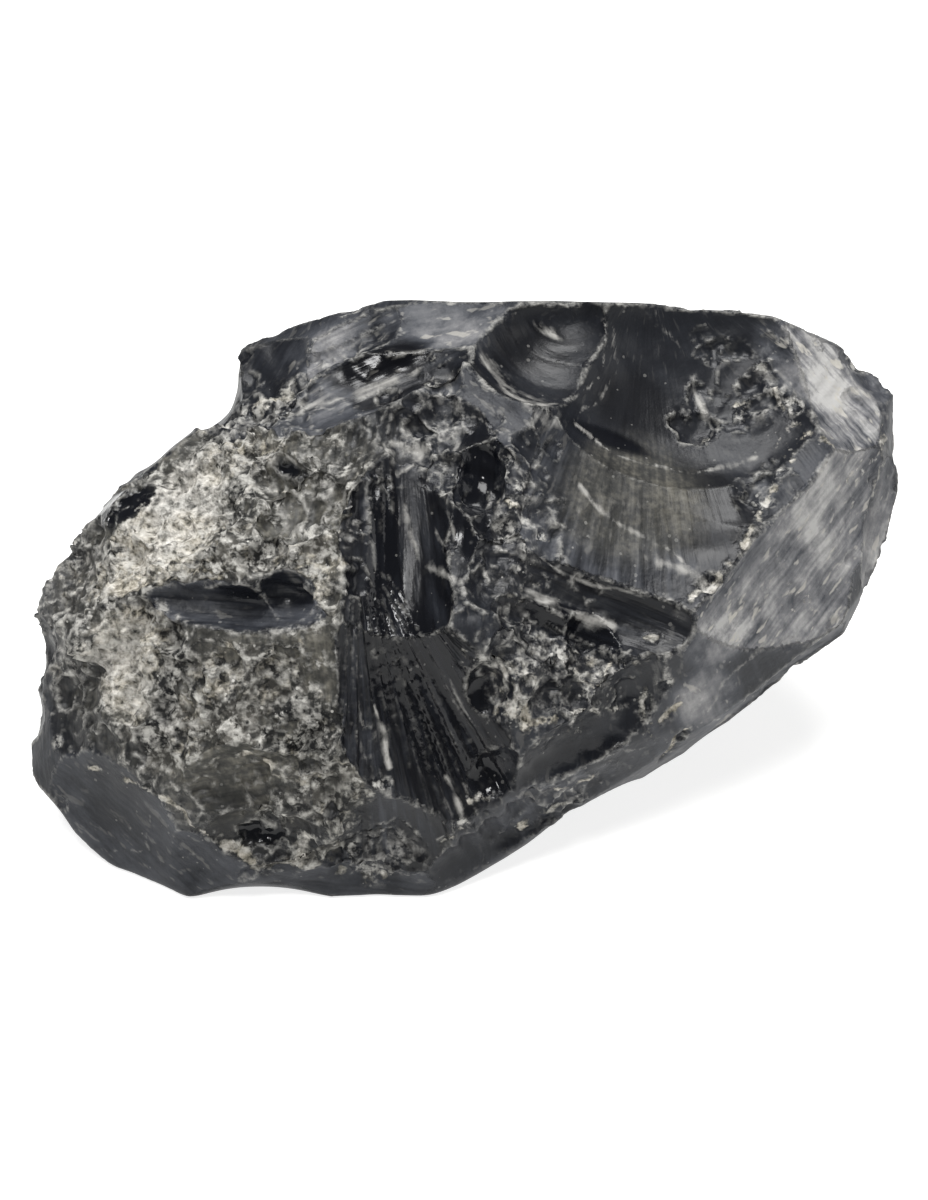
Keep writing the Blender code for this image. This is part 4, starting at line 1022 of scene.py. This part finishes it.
# olive glass just under the rind, finely hackled
hackles = add("Math", (blotches, .4), operation="MULTIPLY")
hackles = add("Math", (grains, .25, hackles), operation="MULTIPLY_ADD")
hackles = add("Math", (streaks, .35, hackles), operation="MULTIPLY_ADD")
olive_glass = add("ValToRGB", (hackles,), stops=OLIVE_GLASS)
olive_on = add("Math", (on["olive"], .8), operation="MULTIPLY")
colour = add("Mix", {0: olive_on, 6: colour, 7: olive_glass}, 2, data_type="RGBA")

# small light pits in the dullest breaks
pit_marks = add("MapRange", (pits, .61, .68, 0, .7))
dull_and_light_squared = add("Math", (on["dull_and_painted_light"], on["dull_and_painted_light"]), operation="MULTIPLY")
pit_on = add("Math", (pit_marks, dull_and_light_squared), operation="MULTIPLY")
colour = add("Mix", {0: pit_on, 6: colour, 7: hex_colour(PIT_GREY)}, 2, data_type="RGBA")

# chips side by side, each with its own shade, and worn light edges between them
chip_tone = add("Mix", {0: .45, 2: on["chip_shade"], 3: crumbs})
chip_colour = add("ValToRGB", (chip_tone,), stops=CHIP_GLASS)
edge_line = add("Math", (on["chip_edge"], add("MapRange", (crumbs, .42, .6))), operation="MULTIPLY")
edge_on = add("Math", (edge_line, .8), operation="MULTIPLY")
edge_grey = hex_colour(CHIP_EDGE_GREY)
chip_colour = add("Mix", {0: edge_on, 6: chip_colour, 7: edge_grey}, 2, data_type="RGBA")

# rind: beige and grey grains with dark pits, in drifts between the chips
pale_swing = add("Math", (on["pale"], .5), operation="SUBTRACT")
facet_shade = add("Math", (facet_dice["Green"], .5), operation="SUBTRACT")
grainy = add("Mix", {0: .25, 2: grains, 3: crumbs})
grainy = add("Math", (facet_shade, .1, grainy), operation="MULTIPLY_ADD")
grainy = add("Math", (pale_swing, .15, grainy), operation="MULTIPLY_ADD")
grey_rind = add("ValToRGB", (grainy,), stops=GREY_RIND)
beige_rind = add("ValToRGB", (grainy,), stops=BEIGE_RIND)
beige_on = add("MapRange", (blotches, .42, .6, 0, .75))
rind_colour = add("Mix", {0: beige_on, 6: grey_rind, 7: beige_rind}, 2, data_type="RGBA")
drifting = add("Math", (on["pale"], .28, drifts), operation="MULTIPLY_ADD")
drifting = add("Math", (blotch_swing, .55, drifting), operation="MULTIPLY_ADD")
drift_on = add("MapRange", (drifting, .55, .67))
rind_colour = add("Mix", {0: drift_on, 6: chip_colour, 7: rind_colour}, 2, data_type="RGBA")

# the rind's border is crumbled
rind_edge = add("Math", (crumb_swing, 1.5, on["rind"]), operation="MULTIPLY_ADD")
rind_edge = add("Math", (on["pale"], .3, rind_edge), operation="MULTIPLY_ADD")
rind_on = add("MapRange", (rind_edge, .38, .62))
colour = add("Mix", {0: rind_on, 6: colour, 7: rind_colour}, 2, data_type="RGBA")
broken_edge = add("Math", (edge_line, on["broken"]), operation="MULTIPLY")
broken_edge = add("Math", (broken_edge, .45), operation="MULTIPLY")
colour = add("Mix", {0: broken_edge, 6: colour, 7: hex_colour(BROKEN_EDGE_GREY)}, 2, data_type="RGBA")

# worn light lips and painted edge highlights and sheen, combed by the streaks
fine_comb = add("Math", (fine_streaks, .5), operation="SUBTRACT")
lip_and_highlight_edge = add("Math", (crumb_swing, 1.3, on["lip_and_highlight"]), operation="MULTIPLY_ADD")
lip_and_highlight_edge = add("Math", (fine_comb, 1.6, lip_and_highlight_edge), operation="MULTIPLY_ADD")
lip_and_highlight_on = add("Math", (add("MapRange", (lip_and_highlight_edge, .3, 1)), on["lip_and_highlight"]), operation="MULTIPLY")
lip_and_highlight_share = add("Math", (lip_and_highlight_on, .8), operation="MULTIPLY")
colour = add("Mix", {0: lip_and_highlight_share, 6: colour, 7: hex_colour(LIP_AND_HIGHLIGHT_GREY)}, 2, data_type="RGBA")

# crushed white inside some chips and in scattered specks; along ridges partly crushed white and partly a
# painted edge highlight
crushed = add("Math", (on["bruise"], add("MapRange", (crumbs, .47, .6))), operation="MULTIPLY")
rubbed = add("Math", (crumbs, .42), operation="SUBTRACT")
ridge_share = add("Math", (on["ridge"], 2.6), operation="MULTIPLY")
worn_and_highlit_ridge = add("Math", (rubbed, ridge_share), operation="MULTIPLY", use_clamp=True)
speck_luck = add("Math", (facet_dice["Red"], .84), operation="SUBTRACT")
speck_size = add("Math", (crumbs, 3.4), operation="MULTIPLY")
speck_edge = add("Math", (speck_luck, speck_size), operation="MULTIPLY")
speck = add("Math", (small_cells["Distance"], speck_edge), operation="LESS_THAN")
speck_field = add("Math", (on["rind"], .6, .15), operation="MULTIPLY_ADD")
speck_field = add("Math", (on["broken"], .4, speck_field), operation="MULTIPLY_ADD", use_clamp=True)
speck = add("Math", (speck, speck_field), operation="MULTIPLY")
white = add("Math", (crushed, worn_and_highlit_ridge), operation="MAXIMUM")
white = add("Math", (white, speck), operation="MAXIMUM")
white = add("Math", (white, .85), operation="MULTIPLY", use_clamp=True)
colour = add("Mix", {0: white, 6: colour, 7: hex_colour(CRUSHED_AND_HIGHLIGHT_WHITE)}, 2, data_type="RGBA")
links.new(colour, shader.inputs["Base Color"])

# clean glass mirrors sharply; wear with its painted sheen and shade, rind, lips with their painted
# highlights and crushed spots scatter the light
rough = add("Math", (wear_and_painted_light, .3), operation="MULTIPLY", use_clamp=True)
rough = add("Math", (rough, .34), operation="ADD")
for share, more in ((olive_on, .2), (on["clean"], -.22), (rind_on, .38), (lip_and_highlight_on, .3)):
    rough = add("Math", (share, more, rough), operation="MULTIPLY_ADD")
rough = add("Math", (white, .4, rough), operation="MULTIPLY_ADD", use_clamp=True)
links.new(rough, shader.inputs["Roughness"])

# relief finer than the mesh, in millimetres
comb_depth = add("Math", (on["streaked"], .55), operation="MULTIPLY")
comb_height = add("Math", (comb, comb_depth), operation="MULTIPLY")
dent_depth = add("Math", (on["dull_and_painted_light"], .35, .12), operation="MULTIPLY_ADD")
height = add("Math", (dents, dent_depth, comb_height), operation="MULTIPLY_ADD")
height = add("Math", (crumbs, .03, height), operation="MULTIPLY_ADD")
facets = add("Math", (small_facets, .6), operation="MULTIPLY")
for lumps, tall in ((tiny_facets, .3), (grains, .9), (crumbs, .5)):
    facets = add("Math", (lumps, tall, facets), operation="MULTIPLY_ADD")
crumbled = add("Math", (on["rind"], .9), operation="MULTIPLY")
for share, most in ((on["bruise"], .6), (on["ridge"], .25)):
    here = add("Math", (share, most), operation="MULTIPLY")
    crumbled = add("Math", (crumbled, here), operation="MAXIMUM")
height = add("Math", (facets, crumbled, height), operation="MULTIPLY_ADD")
bump = add("Bump", {"Height": height, "Distance": MM, "Strength": 1}, "Normal")
links.new(bump, shader.inputs["Normal"])

stone.data.materials.append(glass)
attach(stone, "root")
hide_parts("obsidian_chunk")

# ---------------------------------------------------------------- table
# A wide sheet of matt white paper under the stone. It glows a little, so it stays pale out to the
# edge of the view and keeps only a faint shadow.
TABLE_SIZE = 12      # metres
table_mesh = bpy.data.meshes.new("table")
sheet = bmesh.new()
bmesh.ops.create_grid(sheet, x_segments=1, y_segments=1, size=TABLE_SIZE / 2)
sheet.to_mesh(table_mesh)
sheet.free()
table = bpy.data.objects.new("table", table_mesh)
bpy.context.scene.collection.objects.link(table)
paper = bpy.data.materials.new("pale_paper")
paper.use_nodes = True
paper_shader = paper.node_tree.nodes["Principled BSDF"]
paper_shader.inputs["Base Color"].default_value = hex_colour("#b9b9b7")
paper_shader.inputs["Roughness"].default_value = .9
paper_shader.inputs["Specular IOR Level"].default_value = .1
paper_shader.inputs["Emission Color"].default_value = hex_colour("#ffffff")
paper_shader.inputs["Emission Strength"].default_value = .8
table_mesh.materials.append(paper)

# ---------------------------------------------------------------- lamps
# A softbox overhead and slightly behind, whose mirror image makes the worn breaks grey, a weak one
# on the right for the rim, and a small lamp in front that draws out the relief.
def softbox(name, place, aim, size, power):
    """A lamp of this width and length in metres, turned to face its aim."""
    lamp = bpy.data.lights.new(name, "AREA")
    lamp.shape = "RECTANGLE"
    lamp.size, lamp.size_y = size
    lamp.energy = power
    thing = bpy.data.objects.new(name, lamp)
    bpy.context.scene.collection.objects.link(thing)
    thing.location = place
    thing.rotation_euler = (Vector(aim) - Vector(place)).to_track_quat("-Z", "Y").to_euler()


softbox("overhead_softbox", (0, .2, 1.2), (0, .1, 0), (.8, .55), 19)
softbox("right_softbox", (.85, -.1, .45), (0, 0, .04), (.5, .5), 1.4)
softbox("key_lamp", (-.2, -.6, 1), (0, 0, .04), (.25, .25), 7)

world = bpy.data.worlds.new("studio")
world.use_nodes = True
background = world.node_tree.nodes["Background"]
background.inputs["Color"].default_value = hex_colour("#ffffff")
background.inputs["Strength"].default_value = .14
bpy.context.scene.world = world

# ---------------------------------------------------------------- camera
# A long lens in front of the stone and half a metre above the table. It looks down on the middle
# of the broad face.
LOOK_DOWN = 35          # degrees
LENS = 135              # millimetres, on a frame 36 mm high
FAR = .7875             # metres from the camera to the middle of the face
camera_data = bpy.data.cameras.new("camera")
camera_data.lens = LENS
camera_data.sensor_fit = "VERTICAL"
camera_data.sensor_height = 36
camera = bpy.data.objects.new("camera", camera_data)
bpy.context.scene.collection.objects.link(camera)
down = math.radians(LOOK_DOWN)
camera.location = Vector(FACE_MIDDLE) * MM + Vector((0, -math.cos(down), math.sin(down))) * FAR
camera.rotation_euler = (math.radians(90) - down, 0, 0)
bpy.context.scene.camera = camera
bpy.context.scene.view_settings.view_transform = "Standard"
